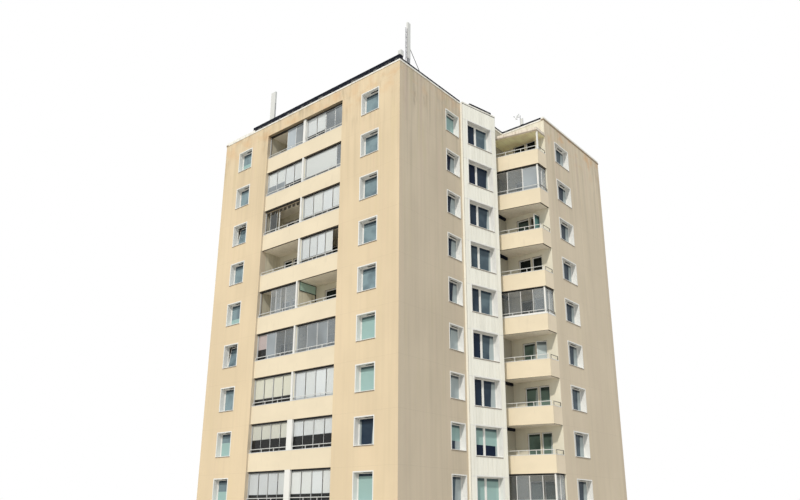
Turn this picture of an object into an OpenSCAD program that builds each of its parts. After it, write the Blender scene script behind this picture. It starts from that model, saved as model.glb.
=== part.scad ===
// Ten-storey point block of flats, two wings set a step apart in plan.
// Millimetres. Origin at the middle of the footprint on the ground, +Z up, the front wall facing -Y.
// The plan repeats itself when it is turned half round, so every side part is drawn once and turned.

/* [Plan] */
// Length of the front wall, and of the back wall
front_w = 16130; // [14700:10:20000]
// Sideways step between the two wings
step_w = 3190; // [2700:10:3900]
// Depth of the side wall, from the front corner to the step
side_d = 11080; // [8500:10:14000]
// Depth of the gable wall past the step
wing_d = 8210; // [6000:10:10000]
// Thickness of the outer walls
wall_t = 430; // [400:5:500]

/* [Storeys] */
// Number of storeys
storeys = 10; // [3:1:11]
// Height from floor to floor
storey_h = 2750; // [2600:10:3000]
// Thickness of the floors
slab_t = 200; // [120:5:240]
// Thickness of the ground floor, which lies on the ground
base_t = 150; // [100:5:300]
// Depth of the head over the top openings, below the top ceiling line
head_drop = 140; // [60:5:200]
// Thickness of the roof
roof_t = 400; // [200:5:500]
// Height of the walls above the top ceiling line
attic_h = 640; // [460:5:800]

/* [Windows] */
// Height of the window heads above the floor
head_z = 2280; // [2100:10:2350]
// Height of the sills above the floor
sill_z = 850; // [600:10:1100]
// Depth from the wall face to the glass
reveal = 350; // [200:5:360]
// Thickness of the sheets that close the window holes
glass_t = 30; // [10:2:40]
// Width of the windows in the front and back walls
front_win_w = 1320; // [900:10:1600]
// Distance from a front corner to the nearer window jamb
front_win_in = 1615; // [1200:5:1900]
// Width of the window in the side wall
side_win_w = 1306; // [900:2:1400]
// Width of the wall between the side window and the bay
side_win_gap = 203; // [100:1:600]
// Width of the gable window
gable_win_w = 1876; // [1000:2:2400]
// Distance from the step to the gable window
gable_win_y = 1341; // [1000:1:1800]

/* [Bay] */
// Angle by which the bay turns away from the side wall
bay_turn = 12.4; // [6:0.1:14]
// Width of the bay's face
bay_w = 2930; // [2600:10:3200]
// How far the bay's near corner stands out of the side wall
bay_out = 168; // [100:2:250]
// Distance from the bay to the step
bay_to_step = 5109; // [4900:1:5600]
// Thickness of the bay's short return wall
cheek_t = 250; // [150:5:300]
// Distance from the bay's near corner to its window
bay_win_in = 420; // [250:5:500]
// Width of the bay's window
bay_win_w = 2050; // [1500:10:2200]
// Height of the bay's sill above the floor
bay_sill_z = 630; // [500:10:900]

/* [Loggia] */
// Width of the loggia opening in the front wall
loggia_w = 6960; // [5600:10:8000]
// Depth of the loggia behind the wall face
loggia_d = 1600; // [1200:10:2200]
// Thickness of the loggia's side, back and dividing walls
inner_t = 200; // [120:5:250]
// Height of the precast parapet
parapet_h = 1070; // [900:10:1200]
// How far the parapet hangs below the floor line
parapet_drop = 140; // [50:5:180]
// Thickness of the parapet
parapet_t = 120; // [80:5:160]
// How far the parapet stands back from the wall face
parapet_in = 100; // [20:5:200]
// Joint left at each end of the parapet
joint = 10; // [4:1:20]
// Width of the posts between the halves on the lower storeys
wide_post = 440; // [260:10:600]
// Width of the posts between the halves on the upper storeys
thin_post = 120; // [80:10:260]
// Width of the post between the halves on the top storey
top_post = 200; // [80:10:260]
// Number of lower storeys with wide posts
wide_storeys = 3; // [0:1:3]
// Width of each balcony door
door_w = 800; // [700:10:1000]
// Height of each balcony door
door_h = 2200; // [1950:10:2300]
// Width of the window beside each balcony door
door_win_w = 1300; // [700:10:1500]
// Distance from the loggia's side wall to the door
door_in = 420; // [200:10:700]
// Width of the wall between a balcony door and its window
mullion = 80; // [40:5:120]

/* [Balcony] */
// Angle by which the balcony front turns away from the front wall's line
balcony_turn = 12; // [4:0.5:14]
// Length of the balcony's short side
balcony_side = 1060; // [800:10:1300]
// Height of the balcony parapet
balcony_h = 1050; // [900:10:1200]
// How far the balcony parapet hangs below the floor line
balcony_drop = 225; // [150:5:300]
// Thickness of the balcony parapet
balcony_t = 100; // [80:5:150]
// Distance from the side wall to the window beside the balcony door
nook_win_in = 780; // [500:10:800]
// Width of the window beside the balcony door
nook_win_w = 880; // [600:10:900]
// Width of the balcony door
nook_door_w = 720; // [600:10:750]
// Height of the canopy above the top balcony's floor
canopy_rise = 2100; // [2050:10:2250]
// Thickness of the canopy over the top balcony
canopy_t = 300; // [60:5:320]
// Width of the square post that holds the canopy
canopy_post = 90; // [60:5:100]

/* [Rails] */
// Diameter of the handrail
rail_d = 42; // [30:1:60]
// Height of the handrail above a loggia parapet
rail_z = 190; // [120:5:300]
// Height of the handrail above a balcony parapet
balcony_rail_z = 250; // [120:5:300]
// Width of the flat rail posts
rail_post = 30; // [16:1:50]
// Number of rail spans along a loggia
loggia_spans = 6; // [4:1:8]
// Number of rail spans along a balcony front
balcony_spans = 3; // [2:1:4]

/* [Roof edge] */
// Height of the white trim on top of the walls
trim_h = 100; // [40:5:300]
// How far the trim stands out of the wall
trim_out = 30; // [10:5:60]
// Height of the thin dark upstand on the trim
edge_h = 150; // [40:5:200]
// Width of the thin dark upstand
edge_t = 160; // [100:5:240]
// Height of the raised dark band over the front wall
band_h = 360; // [200:5:500]
// Width of the raised dark band
band_t = 300; // [250:5:350]
// Length of the front wall that the raised band leaves free at its left end
band_in = 2900; // [1500:10:4000]
// Length of the bay that the dark upstand leaves free at its near end
bay_edge_in = 700; // [200:10:1000]
// Length of the dark upstand on the bay
bay_edge_w = 1900; // [1000:10:2000]

/* [Aerials] */
// Height of the ladder mast that stands on the side wall's dark upstand
mast_h = 2400; // [2000:10:4000]
// Distance between the mast's two poles
mast_w = 120; // [80:5:300]
// Rise of the mast's rungs
rung_z = 350; // [200:10:500]
// Diameter of the poles
pole_d = 48; // [30:1:60]
// Distance from the front wall to the mast
mast_in = 620; // [400:10:1500]
// Height of the panel aerial beside the mast
panel_h = 2500; // [1200:10:3000]
// Width of the panel aerial beside the mast
panel_w = 240; // [150:5:400]
// Thickness of the large panel aerials
panel_t = 120; // [60:5:140]
// Height of the mount below the panel aerial
mount_h = 360; // [100:10:600]
// Height of the panel aerial over the front wall
front_panel_h = 2150; // [1200:10:2600]
// Width of the panel aerial over the front wall
front_panel_w = 440; // [150:5:500]
// Distance from the front wall's left end to the pole over the front wall
pole_in = 4960; // [3500:10:7000]
// Height of the pole over the front wall
pole_h = 1250; // [800:10:3500]
// Side of the box at the near corner
box_w = 240; // [150:5:260]
// Height of the box at the near corner
box_h = 360; // [200:10:700]
// Distance from the front wall to the box
box_in = 120; // [10:5:250]
// Distance from the side wall's line to the pole on the nook's roof edge
nook_pole_in = 1410; // [600:10:2400]
// Height of the pole on the nook's roof edge
nook_pole_h = 800; // [500:10:1500]
// Height of the small panel aerial on that pole
small_panel_h = 460; // [200:10:500]
// Width of the small panel aerial
small_panel_w = 180; // [100:5:250]

/* [Hidden] */
$fn = 24;

eps = 1;
face_y = (side_d + wing_d) / 2;
face_x = (front_w - step_w) / 2;
gable_x = (front_w + step_w) / 2;
nook_y = side_d - face_y;
inner_x = face_x - wall_t;
inner_y = face_y - wall_t;
glass_in = reveal + glass_t;
bay_y = side_d - bay_to_step;
side_win_y = bay_y - side_win_gap - side_win_w;
nook_door_in = nook_win_in + nook_win_w + mullion;
top_line = storeys * storey_h;
wall_h = top_line + attic_h;
soffit = top_line - head_drop;
roof_z = soffit + roof_t;
loggia_x = (front_w - loggia_w) / 2;
loggia_back = loggia_d + inner_t;
deep_y = face_y - loggia_back;
parapet_back = parapet_in + parapet_t;
half_w = (loggia_w - inner_t) / 2;
trim_top = wall_h + trim_h;
edge_top = trim_top + edge_h;
band_top = trim_top + band_h;
every = [0:storeys - 1];
above_ground = [1:storeys - 1];

function floor_z(k) = k * storey_h;
function floor_top(k) = k == 0 ? base_t : floor_z(k);
function slab_bottom(k) = k == 0 ? 0 : floor_z(k) - slab_t;

// Points of the bay in the side wall's frame: s runs along the bay's face, d goes in from it
function bay_pt(s, d) = [bay_out + s * sin(bay_turn) - d * cos(bay_turn),
    bay_y + s * cos(bay_turn) + d * sin(bay_turn)];
// The point where the line across the bay at s meets the line x of the side wall's frame
function bay_at(s, x) = bay_pt(s, (bay_out + s * sin(bay_turn) - x) / cos(bay_turn));

// How far the balcony front stands out of the nook's back wall at a distance x from the side wall
function balcony_y(x) = -balcony_side - (step_w - x) * tan(balcony_turn);
balcony_skew = balcony_t / cos(balcony_turn);

module half_turn() { children(); rotate(180) children(); }
module on_front() { translate([-gable_x, -face_y, 0]) children(); }
module on_side() { translate([face_x, -face_y, 0]) children(); }
module on_bay() { on_side() translate([bay_out, bay_y, 0]) rotate(-bay_turn) children(); }
module on_nook() { translate([face_x, nook_y, 0]) children(); }
module on_loggia() { on_front() translate([loggia_x, 0, 0]) children(); }

module box(x0, x1, y0, y1, z0, z1) { translate([x0, y0, z0]) cube([x1 - x0, y1 - y0, z1 - z0]); }
module slab(points, z0, z1) { translate([0, 0, z0]) linear_extrude(z1 - z0) polygon(points); }

// One window a storey in a wall that stands along X, filled from y0 to y1 behind the wall's face
module window_column(x, w, y0 = -eps, y1 = wall_t + eps) {
    for (k = every) box(x, x + w, y0, y1, floor_z(k) + sill_z, floor_z(k) + head_z);
}
// The same in a wall that stands along Y with its outer face at x
module side_window_column(y, w, x = 0, sill = sill_z, in0 = -eps, in1 = wall_t + eps) {
    for (k = every) box(x - in1, x - in0, y, y + w, floor_z(k) + sill, floor_z(k) + head_z);
}
// One door a storey, or its neighbour window with a sill, from y0 to y1
module door_column(x, w, y0, y1, storey_list = every) {
    for (k = storey_list) box(x, x + w, y0, y1, floor_top(k), floor_z(k) + door_h);
}
module door_window_column(x, w, y0, y1) {
    for (k = every) box(x, x + w, y0, y1, floor_z(k) + sill_z, floor_z(k) + door_h);
}

// Outer walls

module wall_left() {
    on_front() difference() {
        box(0, loggia_x, 0, wall_t, 0, wall_h);
        window_column(front_win_in, front_win_w);
    }
}
module wall_right() {
    on_front() difference() {
        box(loggia_x + loggia_w, front_w, 0, wall_t, 0, wall_h);
        window_column(front_w - front_win_in - front_win_w, front_win_w);
    }
}
module front_wall_left() { color("wheat") wall_left(); }
module front_wall_right() { color("wheat") wall_right(); }
module back_wall_left() { color("wheat") rotate(180) wall_left(); }
module back_wall_right() { color("wheat") rotate(180) wall_right(); }

module loggia_head_walls() {
    color("wheat") half_turn() on_loggia() box(0, loggia_w, 0, wall_t, soffit, wall_h);
}

module side_wall() {
    on_side() difference() {
        slab([[-wall_t, wall_t], [0, wall_t], bay_at(0, 0), bay_at(0, -wall_t)], 0, wall_h);
        side_window_column(side_win_y, side_win_w);
    }
}
module right_side_wall() { color("tan") side_wall(); }
module left_side_wall() { color("tan") rotate(180) side_wall(); }

module bay_wall() {
    on_bay() difference() {
        box(-wall_t, 0, 0, bay_w, 0, wall_h);
        side_window_column(bay_win_in, bay_win_w, 0, bay_sill_z);
    }
}
module right_bay_wall() { color("ivory") bay_wall(); }
module left_bay_wall() { color("ivory") rotate(180) bay_wall(); }

module bay_return_walls() {
    color("wheat") half_turn() on_side()
        slab([bay_pt(bay_w, wall_t), bay_at(bay_w, -wall_t), bay_at(bay_w - cheek_t, -wall_t),
            bay_pt(bay_w - cheek_t, wall_t)], 0, wall_h);
}

module nook_side_walls() {
    color("wheat") half_turn() on_side()
        slab([bay_at(bay_w, 0), [0, side_d], [-wall_t, side_d], bay_at(bay_w, -wall_t)], 0, wall_h);
}

module nook_back_walls() {
    color("wheat") half_turn() on_nook() difference() {
        box(-wall_t, step_w, 0, wall_t, 0, wall_h);
        door_window_column(nook_win_in, nook_win_w, -eps, wall_t + eps);
        door_column(nook_door_in, nook_door_w, -eps, wall_t + eps);
    }
}

module gable_wall() {
    on_side() difference() {
        box(step_w - wall_t, step_w, side_d + wall_t, side_d + wing_d - wall_t, 0, wall_h);
        side_window_column(side_d + gable_win_y, gable_win_w, step_w);
    }
}
module right_gable_wall() { color("tan") gable_wall(); }
module left_gable_wall() { color("tan") rotate(180) gable_wall(); }

// Loggias: a recess in the middle of the front and back walls, split in two by a dividing wall

// The door and the window of each half, the right half's mirrored
module both_halves() {
    children();
    translate([loggia_w, 0, 0]) mirror([1, 0, 0]) children();
}
door_win_in = door_in + door_w + mullion;
module loggia_back_walls() {
    color("wheat") half_turn() on_loggia() translate([0, loggia_d, 0]) difference() {
        box(-inner_t, loggia_w + inner_t, 0, inner_t, 0, soffit);
        both_halves() {
            door_column(door_in, door_w, -eps, inner_t + eps);
            door_window_column(door_win_in, door_win_w, -eps, inner_t + eps);
        }
    }
}

module loggia_side_walls() {
    color("wheat") half_turn() on_loggia() for (x = [-inner_t, loggia_w])
        box(x, x + inner_t, wall_t, loggia_d, 0, soffit);
}

module loggia_divider_walls() {
    color("wheat") half_turn() on_loggia()
        box(half_w, half_w + inner_t, parapet_back, loggia_d, 0, soffit);
}

module loggia_floors() {
    color("gray") half_turn() on_loggia() for (k = every) for (x = [0, half_w + inner_t])
        box(x, x + half_w, parapet_back, loggia_d, k == 0 ? 0 : floor_z(k) - parapet_drop, floor_top(k));
}

// The ground storey's parapet stands on the ground, and the back has none there, for the entrance
module loggia_parapet(k) {
    z0 = max(0, floor_z(k) - parapet_drop);
    on_loggia()
        box(joint, loggia_w - joint, parapet_in, parapet_back, z0, floor_z(k) - parapet_drop + parapet_h);
}
module loggia_parapets() {
    color("moccasin") {
        for (k = every) loggia_parapet(k);
        for (k = above_ground) rotate(180) loggia_parapet(k);
    }
}

function post_w(k) = k < wide_storeys ? wide_post : k == storeys - 1 ? top_post : thin_post;
module loggia_post(k) {
    w = post_w(k);
    z0 = floor_z(k) - parapet_drop + parapet_h;
    z1 = k == storeys - 1 ? soffit : floor_z(k + 1) - parapet_drop;
    on_loggia() translate([(loggia_w - w) / 2, 0, 0]) box(0, w, parapet_in, parapet_back, z0, z1);
}
module loggia_posts() {
    color("white") {
        for (k = every) loggia_post(k);
        for (k = above_ground) rotate(180) loggia_post(k);
    }
}

// A handrail of length len along X at height h, on flat posts whose feet stand at z = 0
module handrail(len, spans, h) {
    translate([0, 0, h]) rotate([0, 90, 0]) cylinder(d = rail_d, h = len);
    pitch = (len - rail_post) / spans;
    for (i = [0:spans])
        translate([i * pitch, -rail_post / 2, 0]) cube([rail_post, rail_post, h]);
}

module loggia_handrail(k) {
    on_loggia() translate([joint, parapet_in + parapet_t / 2, floor_z(k) - parapet_drop + parapet_h]) {
        half = (loggia_w - post_w(k)) / 2 - 2 * joint;
        handrail(half, loggia_spans / 2, rail_z);
        translate([loggia_w - half - 2 * joint, 0, 0]) handrail(half, loggia_spans / 2, rail_z);
    }
}
module loggia_handrails() {
    color("silver") {
        for (k = every) loggia_handrail(k);
        for (k = above_ground) rotate(180) loggia_handrail(k);
    }
}

// Balconies in the nook between the bay and the gable, drawn from the nook's inner corner

inside_y = balcony_y(step_w - balcony_t) + balcony_skew;

module balcony_floors() {
    color("gray") half_turn() on_nook() for (k = every)
        slab([[0, 0], [0, balcony_y(0) + balcony_skew], [step_w - balcony_t, inside_y],
            [step_w - balcony_t, 0]], max(0, floor_z(k) - balcony_drop), floor_top(k));
}

module balcony_front_parapets() {
    color("moccasin") half_turn() on_nook() for (k = every)
        slab([[0, balcony_y(0)], [step_w, balcony_y(step_w)], [step_w, balcony_y(step_w) + balcony_skew],
            [0, balcony_y(0) + balcony_skew]],
            max(0, floor_z(k) - balcony_drop), floor_z(k) - balcony_drop + balcony_h);
}

module balcony_side_parapets() {
    color("moccasin") half_turn() on_nook() for (k = every)
        slab([[step_w - balcony_t, inside_y], [step_w, balcony_y(step_w) + balcony_skew], [step_w, 0],
            [step_w - balcony_t, 0]],
            max(0, floor_z(k) - balcony_drop), floor_z(k) - balcony_drop + balcony_h);
}

module balcony_handrails() {
    front_len = step_w / cos(balcony_turn) - balcony_t;
    color("silver") half_turn() on_nook() for (k = every)
        translate([0, 0, floor_z(k) - balcony_drop + balcony_h]) {
            translate([0, balcony_y(0) + balcony_skew / 2, 0]) rotate(balcony_turn) translate([joint, 0, 0])
                handrail(front_len - joint, balcony_spans, balcony_rail_z);
            translate([step_w - balcony_t / 2, -balcony_side + 2 * balcony_t, 0]) rotate(90)
                handrail(balcony_side - 2 * balcony_t - joint, 1, balcony_rail_z);
        }
}

canopy_z = floor_z(storeys - 1) + canopy_rise;
module balcony_canopies() {
    color("khaki") half_turn() on_nook()
        slab([[0, 0], [0, balcony_y(0)], [step_w, balcony_y(step_w)], [step_w, 0]], canopy_z,
            canopy_z + canopy_t);
}

module canopy_posts() {
    foot = floor_z(storeys - 1) - balcony_drop + balcony_h;
    color("white") half_turn() on_nook()
        box(step_w - canopy_post, step_w, balcony_y(step_w) + balcony_skew / 2,
            balcony_y(step_w) + balcony_skew / 2 + canopy_post, foot, canopy_z);
}

// Floors inside the walls

module middle_floors() {
    color("darkgray") for (k = every)
        box(-inner_x, inner_x, -deep_y, deep_y, slab_bottom(k), floor_top(k));
}
module wing_floors() {
    color("darkgray") half_turn() on_front() for (k = every)
        box(wall_t, step_w + wall_t, wall_t, wing_d - wall_t, slab_bottom(k), floor_top(k));
}
module corner_floors() {
    color("darkgray") half_turn() on_front() for (k = every) {
        box(step_w + wall_t, loggia_x - inner_t, wall_t, loggia_back, slab_bottom(k), floor_top(k));
        box(loggia_x + loggia_w + inner_t, front_w - wall_t, wall_t, loggia_back, slab_bottom(k),
            floor_top(k));
    }
}
bay_inside = [bay_at(0, -wall_t), bay_pt(0, wall_t), bay_pt(bay_w - cheek_t, wall_t),
    bay_at(bay_w - cheek_t, -wall_t)];
module bay_floors() {
    color("darkgray") half_turn() on_side() for (k = every)
        slab(bay_inside, slab_bottom(k), floor_top(k));
}

// Roof

module middle_roof() {
    color("dimgray") box(-inner_x, inner_x, -inner_y, inner_y, soffit, roof_z);
}
module wing_roofs() {
    color("dimgray") half_turn() on_front()
        box(wall_t, step_w + wall_t, wall_t, wing_d - wall_t, soffit, roof_z);
}
module bay_roofs() {
    color("dimgray") half_turn() on_side() slab(bay_inside, soffit, roof_z);
}

// Strips along the tops of all walls of one half of the plan, out from the face and in from it.
// The bay's strip runs from bay0 to bay1 along its face.
module edge_runs(out, inside, z0, z1, bay0 = 0, bay1 = bay_w) {
    on_front() box(-out, front_w + out, -out, inside, z0, z1);
    on_side() {
        slab([[-inside, inside + joint], [out, inside + joint], bay_at(-joint, out), bay_at(-joint, -inside)],
            z0, z1);
        slab([bay_at(bay_w + joint, out), [out, side_d - out - joint], [-inside, side_d - out - joint],
            bay_at(bay_w + joint, -inside)], z0, z1);
        box(step_w - inside, step_w + out, side_d + inside + joint, side_d + wing_d - inside - joint, z0, z1);
    }
    on_bay() box(-inside, out, bay0, bay1, z0, z1);
    on_nook() box(-inside, step_w + out, -out, inside, z0, z1);
}
module roof_trim() { color("white") half_turn() edge_runs(trim_out, wall_t, wall_h, trim_top); }
module roof_edge() {
    color("black") half_turn()
        edge_runs(0, edge_t, trim_top, edge_top, bay_edge_in, bay_edge_in + bay_edge_w);
}

module roof_bands() {
    color("black") half_turn() on_front()
        box(band_in, front_w - joint, joint, band_t, edge_top, band_top);
}

// Sheets of glass that close the holes in the walls

module window_glass() {
    color("cadetblue") half_turn() {
        on_front() for (x = [front_win_in, front_w - front_win_in - front_win_w])
            window_column(x, front_win_w, reveal, glass_in);
        on_side() side_window_column(side_win_y, side_win_w, in0 = reveal, in1 = glass_in);
        on_side() side_window_column(side_d + gable_win_y, gable_win_w, step_w, in0 = reveal, in1 = glass_in);
    }
}
module bay_glass() {
    color("cadetblue") half_turn() on_bay()
        side_window_column(bay_win_in, bay_win_w, 0, bay_sill_z, reveal, glass_in);
}
// The back has its entrance in the ground storey's first door
module loggia_door_glass(first_door_storeys) {
    on_loggia() translate([0, loggia_d + inner_t / 2, 0]) {
        door_column(door_in, door_w, 0, glass_t, first_door_storeys);
        translate([loggia_w - door_in - door_w, 0, 0]) door_column(0, door_w, 0, glass_t);
        both_halves() door_window_column(door_win_in, door_win_w, 0, glass_t);
    }
}
module balcony_door_glass() {
    color("cadetblue") {
        loggia_door_glass(every);
        rotate(180) loggia_door_glass(above_ground);
        half_turn() on_nook() {
            door_window_column(nook_win_in, nook_win_w, reveal, glass_in);
            door_column(nook_door_in, nook_door_w, reveal, glass_in);
        }
    }
}
module entrance_door() {
    color("slategray") rotate(180) on_loggia() translate([door_in, loggia_d, 0])
        box(0, door_w, inner_t / 4, inner_t * 3 / 4, base_t, door_h);
}

// Aerials on the roof's edge: at the near corner, over the front wall and over the nook

rod_d = pole_d / 2;
module pole(h) { cylinder(d = pole_d, h = h); }
module on_near_edge() { on_side() translate([-edge_t / 2, mast_in, edge_top]) children(); }
module on_front_band() { on_front() translate([pole_in, band_t / 2, band_top]) children(); }
module on_nook_edge() { on_nook() translate([nook_pole_in, edge_t / 2, edge_top]) children(); }
panel_y = mast_w + pole_d / 2;

module aerial_mast() {
    color("dimgray") on_near_edge() {
        for (y = [0, mast_w]) translate([0, y, 0]) pole(mast_h);
        for (z = [rung_z:rung_z:mast_h - rod_d])
            translate([0, 0, z]) rotate([-90, 0, 0]) cylinder(d = rod_d, h = mast_w);
        box(-panel_t / 2, panel_t / 2, panel_y + panel_t / 4, panel_y + panel_w - panel_t / 4, 0, mount_h);
    }
}
module aerial_poles() {
    color("dimgray") {
        on_front_band() pole(pole_h);
        on_nook_edge() pole(nook_pole_h);
    }
}
module panel_aerials() {
    color("white") {
        on_near_edge() box(-panel_t / 2, panel_t / 2, panel_y, panel_y + panel_w, mount_h, mount_h + panel_h);
        on_front_band()
            box(-pole_d / 2 - front_panel_w, -pole_d / 2, -panel_t / 2, panel_t / 2, 0, front_panel_h);
        on_nook_edge()
            box(pole_d / 2, pole_d / 2 + small_panel_w, -pole_d, pole_d, pole_d, pole_d + small_panel_h);
    }
}
module aerial_box() {
    color("white") on_side()
        box(-joint - box_w, -joint, box_in, box_in + box_w, band_top, band_top + box_h);
}

front_wall_left();
front_wall_right();
back_wall_left();
back_wall_right();
loggia_head_walls();
right_side_wall();
left_side_wall();
right_bay_wall();
left_bay_wall();
bay_return_walls();
nook_side_walls();
nook_back_walls();
right_gable_wall();
left_gable_wall();
loggia_back_walls();
loggia_side_walls();
loggia_divider_walls();
loggia_floors();
loggia_parapets();
loggia_posts();
loggia_handrails();
balcony_floors();
balcony_front_parapets();
balcony_side_parapets();
balcony_handrails();
balcony_canopies();
canopy_posts();
middle_floors();
wing_floors();
corner_floors();
bay_floors();
middle_roof();
wing_roofs();
bay_roofs();
roof_trim();
roof_edge();
roof_bands();
window_glass();
bay_glass();
balcony_door_glass();
entrance_door();
aerial_mast();
aerial_poles();
panel_aerials();
aerial_box();
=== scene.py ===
"""Looks of a ten-storey block of flats: finishes, windows, glazing, boards, cappings and roof aerials.

Laid out as a Blender add-on and run as a script. Lengths are in metres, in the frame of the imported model:
the origin is on the ground in the middle of the plan, the front wall faces -Y and Z is up. The plan repeats
itself when it is turned half round, so pieces are worked out for one half and turned for the other.
"""

import math
import random
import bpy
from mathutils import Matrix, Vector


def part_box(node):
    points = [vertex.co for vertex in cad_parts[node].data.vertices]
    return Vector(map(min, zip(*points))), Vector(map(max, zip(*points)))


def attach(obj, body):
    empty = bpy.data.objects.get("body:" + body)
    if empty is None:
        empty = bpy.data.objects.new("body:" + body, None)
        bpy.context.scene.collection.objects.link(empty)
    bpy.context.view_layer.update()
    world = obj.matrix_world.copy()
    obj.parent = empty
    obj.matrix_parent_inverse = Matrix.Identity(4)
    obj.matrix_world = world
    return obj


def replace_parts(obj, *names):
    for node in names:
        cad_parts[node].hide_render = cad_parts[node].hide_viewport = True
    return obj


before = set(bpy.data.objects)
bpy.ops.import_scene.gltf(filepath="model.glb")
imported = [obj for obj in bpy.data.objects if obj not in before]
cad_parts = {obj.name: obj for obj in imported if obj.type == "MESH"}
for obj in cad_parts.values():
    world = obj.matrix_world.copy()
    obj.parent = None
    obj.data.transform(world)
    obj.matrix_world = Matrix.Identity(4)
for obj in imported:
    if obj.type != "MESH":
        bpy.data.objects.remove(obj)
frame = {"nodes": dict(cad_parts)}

from types import SimpleNamespace

import bmesh
import bpy
from bpy.props import FloatProperty, FloatVectorProperty, PointerProperty
from mathutils import Matrix, Vector

bl_info = {
    "name": "Apartment block looks",
    "version": (1, 0, 0),
    "blender": (4, 5, 0),
    "location": "3D View > Sidebar > Block",
    "description": "Finishes and fine pieces of a block of flats with loggias, bays and glazed balconies",
    "category": "Object",
}

BODY = "root"
DONE = {"FINISHED"}
FRONT, RIGHT = Vector((0, -1, 0)), Vector((1, 0, 0))
HALF_TURN = Matrix.Rotation(math.pi, 4, "Z")
BLANK = (0, 0, 0)

# Edges of the plan and of the walls, read from the frame
FACE_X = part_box("right_side_wall")[1].x
FACE_Y = -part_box("front_wall_left")[0].y
GABLE_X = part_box("right_gable_wall")[1].x
WALL_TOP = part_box("front_wall_left")[1].z
LOGGIA_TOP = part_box("loggia_head_walls")[0].z
# Handrails that lie further out than this belong to the balconies' sides
SIDE_RAIL_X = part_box("balcony_side_parapets")[1].x - 0.085


def solids_of(node):
    """The corner points of each separate solid of a CAD node."""
    mesh = frame["nodes"][node].data
    keys = [tuple(round(c, 4) for c in v.co) for v in mesh.vertices]
    parent = {key: key for key in keys}

    def top(key):
        while parent[key] != key:
            parent[key] = parent[parent[key]]
            key = parent[key]
        return key

    for face in mesh.polygons:
        first = top(keys[face.vertices[0]])
        for index in face.vertices[1:]:
            parent[top(keys[index])] = first
    solids = {}
    for key in parent:
        solids.setdefault(top(key), []).append(Vector(key))
    return list(solids.values())


def span(points, axis):
    """Lowest and highest coordinate of the points along an axis."""
    values = [p[axis] for p in points]
    return min(values), max(values)


def middle_of(points):
    """The mean of some points."""
    return sum(points, Vector()) / len(points)


PARAPET_FEET = sorted({span(s, 2)[0] for s in solids_of("balcony_front_parapets")})
STOREYS = len(PARAPET_FEET)
STOREY = PARAPET_FEET[-1] - PARAPET_FEET[-2]


def storey_of(z):
    """The storey that a height lies in, counted from 0 at the ground."""
    return int(z // STOREY)


def turned(u, origin):
    """A place with u along the wall, v up and w out of it."""
    u = Vector((u[0], u[1], 0)).normalized()
    v = Vector((0, 0, 1))
    return Matrix.Translation(origin) @ Matrix((u, v, u.cross(v))).transposed().to_4x4()


def moved(place, u=0.0, v=0.0, w=0.0):
    """A place shifted along its own axes."""
    return place @ Matrix.Translation((u, v, w))


def tipped(place, degrees, axis):
    """A place turned about one of its own axes."""
    return place @ Matrix.Rotation(math.radians(degrees), 4, axis)


def at(place, *points):
    """Points of a place, in the frame of the block."""
    return [place @ Vector(p) for p in points]


def sheet_place(points, outward):
    """Place, width and height of an upright sheet's outer face."""
    corners = sorted({(round(p.x, 4), round(p.y, 4)) for p in points})
    first = Vector(corners[0])
    others = sorted((Vector(c) for c in corners[1:]), key=lambda c: (c - first).length)
    along = (others[1] - first).normalized()
    if along.to_3d().cross(Vector((0, 0, 1))).dot(outward) < 0:
        along = -along
    local = turned(along, BLANK).inverted()
    seen = at(local, *points)
    (u0, u1), (v0, v1), (_, w1) = (span(seen, axis) for axis in range(3))
    return turned(along, local.inverted() @ Vector((u0, v0, w1))), u1 - u0, v1 - v0


# Walls of one half of the plan that have openings: the node of their glass, the way they face, which of
# its sheets are theirs, and how the width of an opening is shared out in lights
OPENINGS = {
    "front_wall_left": ("window_glass", FRONT, lambda p: p.y < 0.9 - FACE_Y, (1.0,)),
    "right_side_wall": ("window_glass", RIGHT,
                        lambda p: FACE_X - 1 < p.x < FACE_X and abs(p.y) < FACE_Y - 1, (1.0,)),
    "right_gable_wall": ("window_glass", RIGHT,
                         lambda p: p.x > GABLE_X - 1 and p.y < FACE_Y - 1, (0.36, 0.64)),
    "right_bay_wall": ("bay_glass", RIGHT, lambda p: p.x > 0, (0.47, 0.53)),
    "loggia_back_walls": ("balcony_door_glass", FRONT, lambda p: p.y < -FACE_Y / 2, (1.0,)),
    "nook_back_walls": ("balcony_door_glass", FRONT, lambda p: p.x > FACE_X, (1.0,)),
}


class Opening:
    """A hole in a wall: its place at the lower left corner of the wall's face, and its sizes."""

    def __init__(self, wall, points, outward, lights):
        self.wall, self.lights = wall, lights
        sheet, self.width, self.height = sheet_place(points, outward)
        local = sheet.inverted()
        outs = [(local @ v.co).z for v in frame["nodes"][wall].data.vertices]
        self.depth = max(w for w in outs if abs(w) < 1)
        self.place = moved(sheet, w=self.depth)
        self.storey = storey_of(self.place.translation.z + self.height / 2)
        self.left_column = wall == "front_wall_left" and self.place.translation.x < -FACE_X


def openings_of(*walls):
    """The holes in some walls, one for each sheet of glass that closes one."""
    found = []
    for wall in walls:
        node, outward, theirs, lights = OPENINGS[wall]
        holes = [Opening(wall, s, outward, lights) for s in solids_of(node) if theirs(middle_of(s))]
        found += sorted(holes, key=lambda o: tuple(round(c, 2) for c in o.place.translation))
    return found


def wall_windows():
    """Every window of one half of the plan."""
    return openings_of("front_wall_left", "right_side_wall", "right_gable_wall", "right_bay_wall")


class Room:
    """A strip of glazing's place: u along the parapet's inner face from its left end, v up from the floor."""

    def __init__(self, place, width, part, height, storey, parapet):
        self.place, self.width, self.height = place, width, height
        self.storey, self.part, self.parapet = storey, part, parapet


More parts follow.
